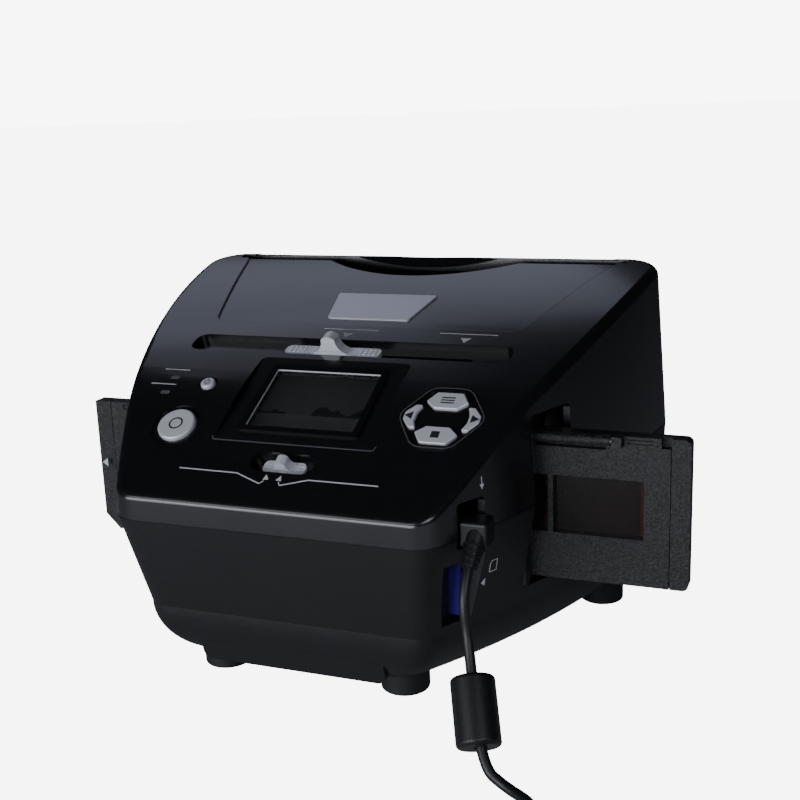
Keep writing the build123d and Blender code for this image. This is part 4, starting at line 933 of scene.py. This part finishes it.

# Painted highlight: a lighter grey line along the lower edge of the recess round the screen
recessEdge = {
    "corners": [(-0.0355, -0.0640), (-0.0350, -0.0655), (0.0350, -0.0655), (0.0358, -0.0636)],
    "rounding": 0.0012, "spacing": 0.006,
    "profile": [(-0.0002, -0.00004), (-0.0002, 0.00012), (0.0002, 0.00012), (0.0002, -0.00004)],
}
path = roundedPath(recessEdge["corners"], recessEdge["rounding"], recessEdge["spacing"])
shape = drapedStrip(path, recessEdge["profile"])
finishPiece("recessEdge", shape, Matrix(), "casing", paintedEdgeHighlight)

# A ring on the scan key, and a ring with a stroke on the power key
keyRings = {
    "scan": {"at": (-0.0543, -0.0606), "inner": 0.0024, "outer": 0.0031, "body": "scan_key"},
    "power": {"at": (-0.0510, -0.0390), "inner": 0.0010, "outer": 0.0013, "body": "power_key"},
}
for name, ring in keyRings.items():
    shape = ringShape(ring["inner"], ring["outer"])
    spot = panelFrame(*ring["at"], keyTop)
    finishPiece(name + "KeyRing", shape, spot, ring["body"], markDark)
powerStroke = {"at": (-0.0510, -0.0378), "size": (0.0003, 0.0012)}
spot = panelFrame(*powerStroke["at"], keyTop)
mark("powerKeyStroke", bar(*powerStroke["size"]), 0, spot, "power_key", markDark)


def sideFrame(node, y, z, outside=0.3):
    # A matrix on the right side: z axis out of the wall, y axis up it
    found, place, normal, _ = nodes[node].ray_cast(Vector((outside, y, z)), Vector((-1, 0, 0)))
    out = normal.normalized() if found else Vector((1, 0, 0))
    along = Vector((0, 0, 1)).cross(out).normalized()
    axes = Matrix((along, out.cross(along), out)).transposed().to_4x4()
    return Matrix.Translation(place) @ axes


# On the right side: a card outline with a pointer to its slot, a pointer to the cable socket
sideMarks = {
    "card": (-0.0565, 0.0575), "cardSize": (0.0038, 0.0048), "cardLine": 0.0004,
    "cardPointer": (-0.0600, 0.0515),
    "cardTriangle": [(-0.0014, 0), (0.0008, -0.0017), (0.0008, 0.0017)],
    "cablePointer": (-0.0655, 0.0925),
    "cableTriangle": [(-0.0012, 0.0006), (0.0012, 0.0006), (0, -0.0016)],
    "cableLine": (0.0004, 0.0030), "lineAbove": 0.0020,
}
wide, tall = sideMarks["cardSize"]
outline = [
    (-wide / 2, -tall / 2), (wide / 2, -tall / 2), (wide / 2, tall / 2),
    (-wide / 4, tall / 2), (-wide / 2, tall / 4), (-wide / 2, -tall / 2),
]
shape = ribbonShape(outline, sideMarks["cardLine"])
place = sideFrame("lower_casing", *sideMarks["card"])
finishPiece("cardOutline", shape, place, "casing", markGrey)
place = sideFrame("lower_casing", *sideMarks["cardPointer"])
mark("cardPointer", sideMarks["cardTriangle"], 0, place)
place = sideFrame("upper_casing", *sideMarks["cablePointer"])
mark("cablePointer", sideMarks["cableTriangle"], 0, place)
place = place @ Matrix.Translation((0, sideMarks["lineAbove"], 0))
mark("cablePointerLine", bar(*sideMarks["cableLine"]), 0, place)

# A pointer on the left end of the film holder
holderMark = {
    "fromEnd": 0.0045, "height": 0.076,
    "triangle": [(-0.0018, 0), (0.0010, -0.0020), (0.0010, 0.0020)],
}
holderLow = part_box("film_holder_base")[0]
spot = (holderLow.x + holderMark["fromEnd"], holderLow.y, holderMark["height"])
place = Matrix.Translation(spot) @ turned(90, "X")
mark("holderPointer", holderMark["triangle"], 0, place, "film_holder")
print("marks and light lines made")

print("pieces finished")
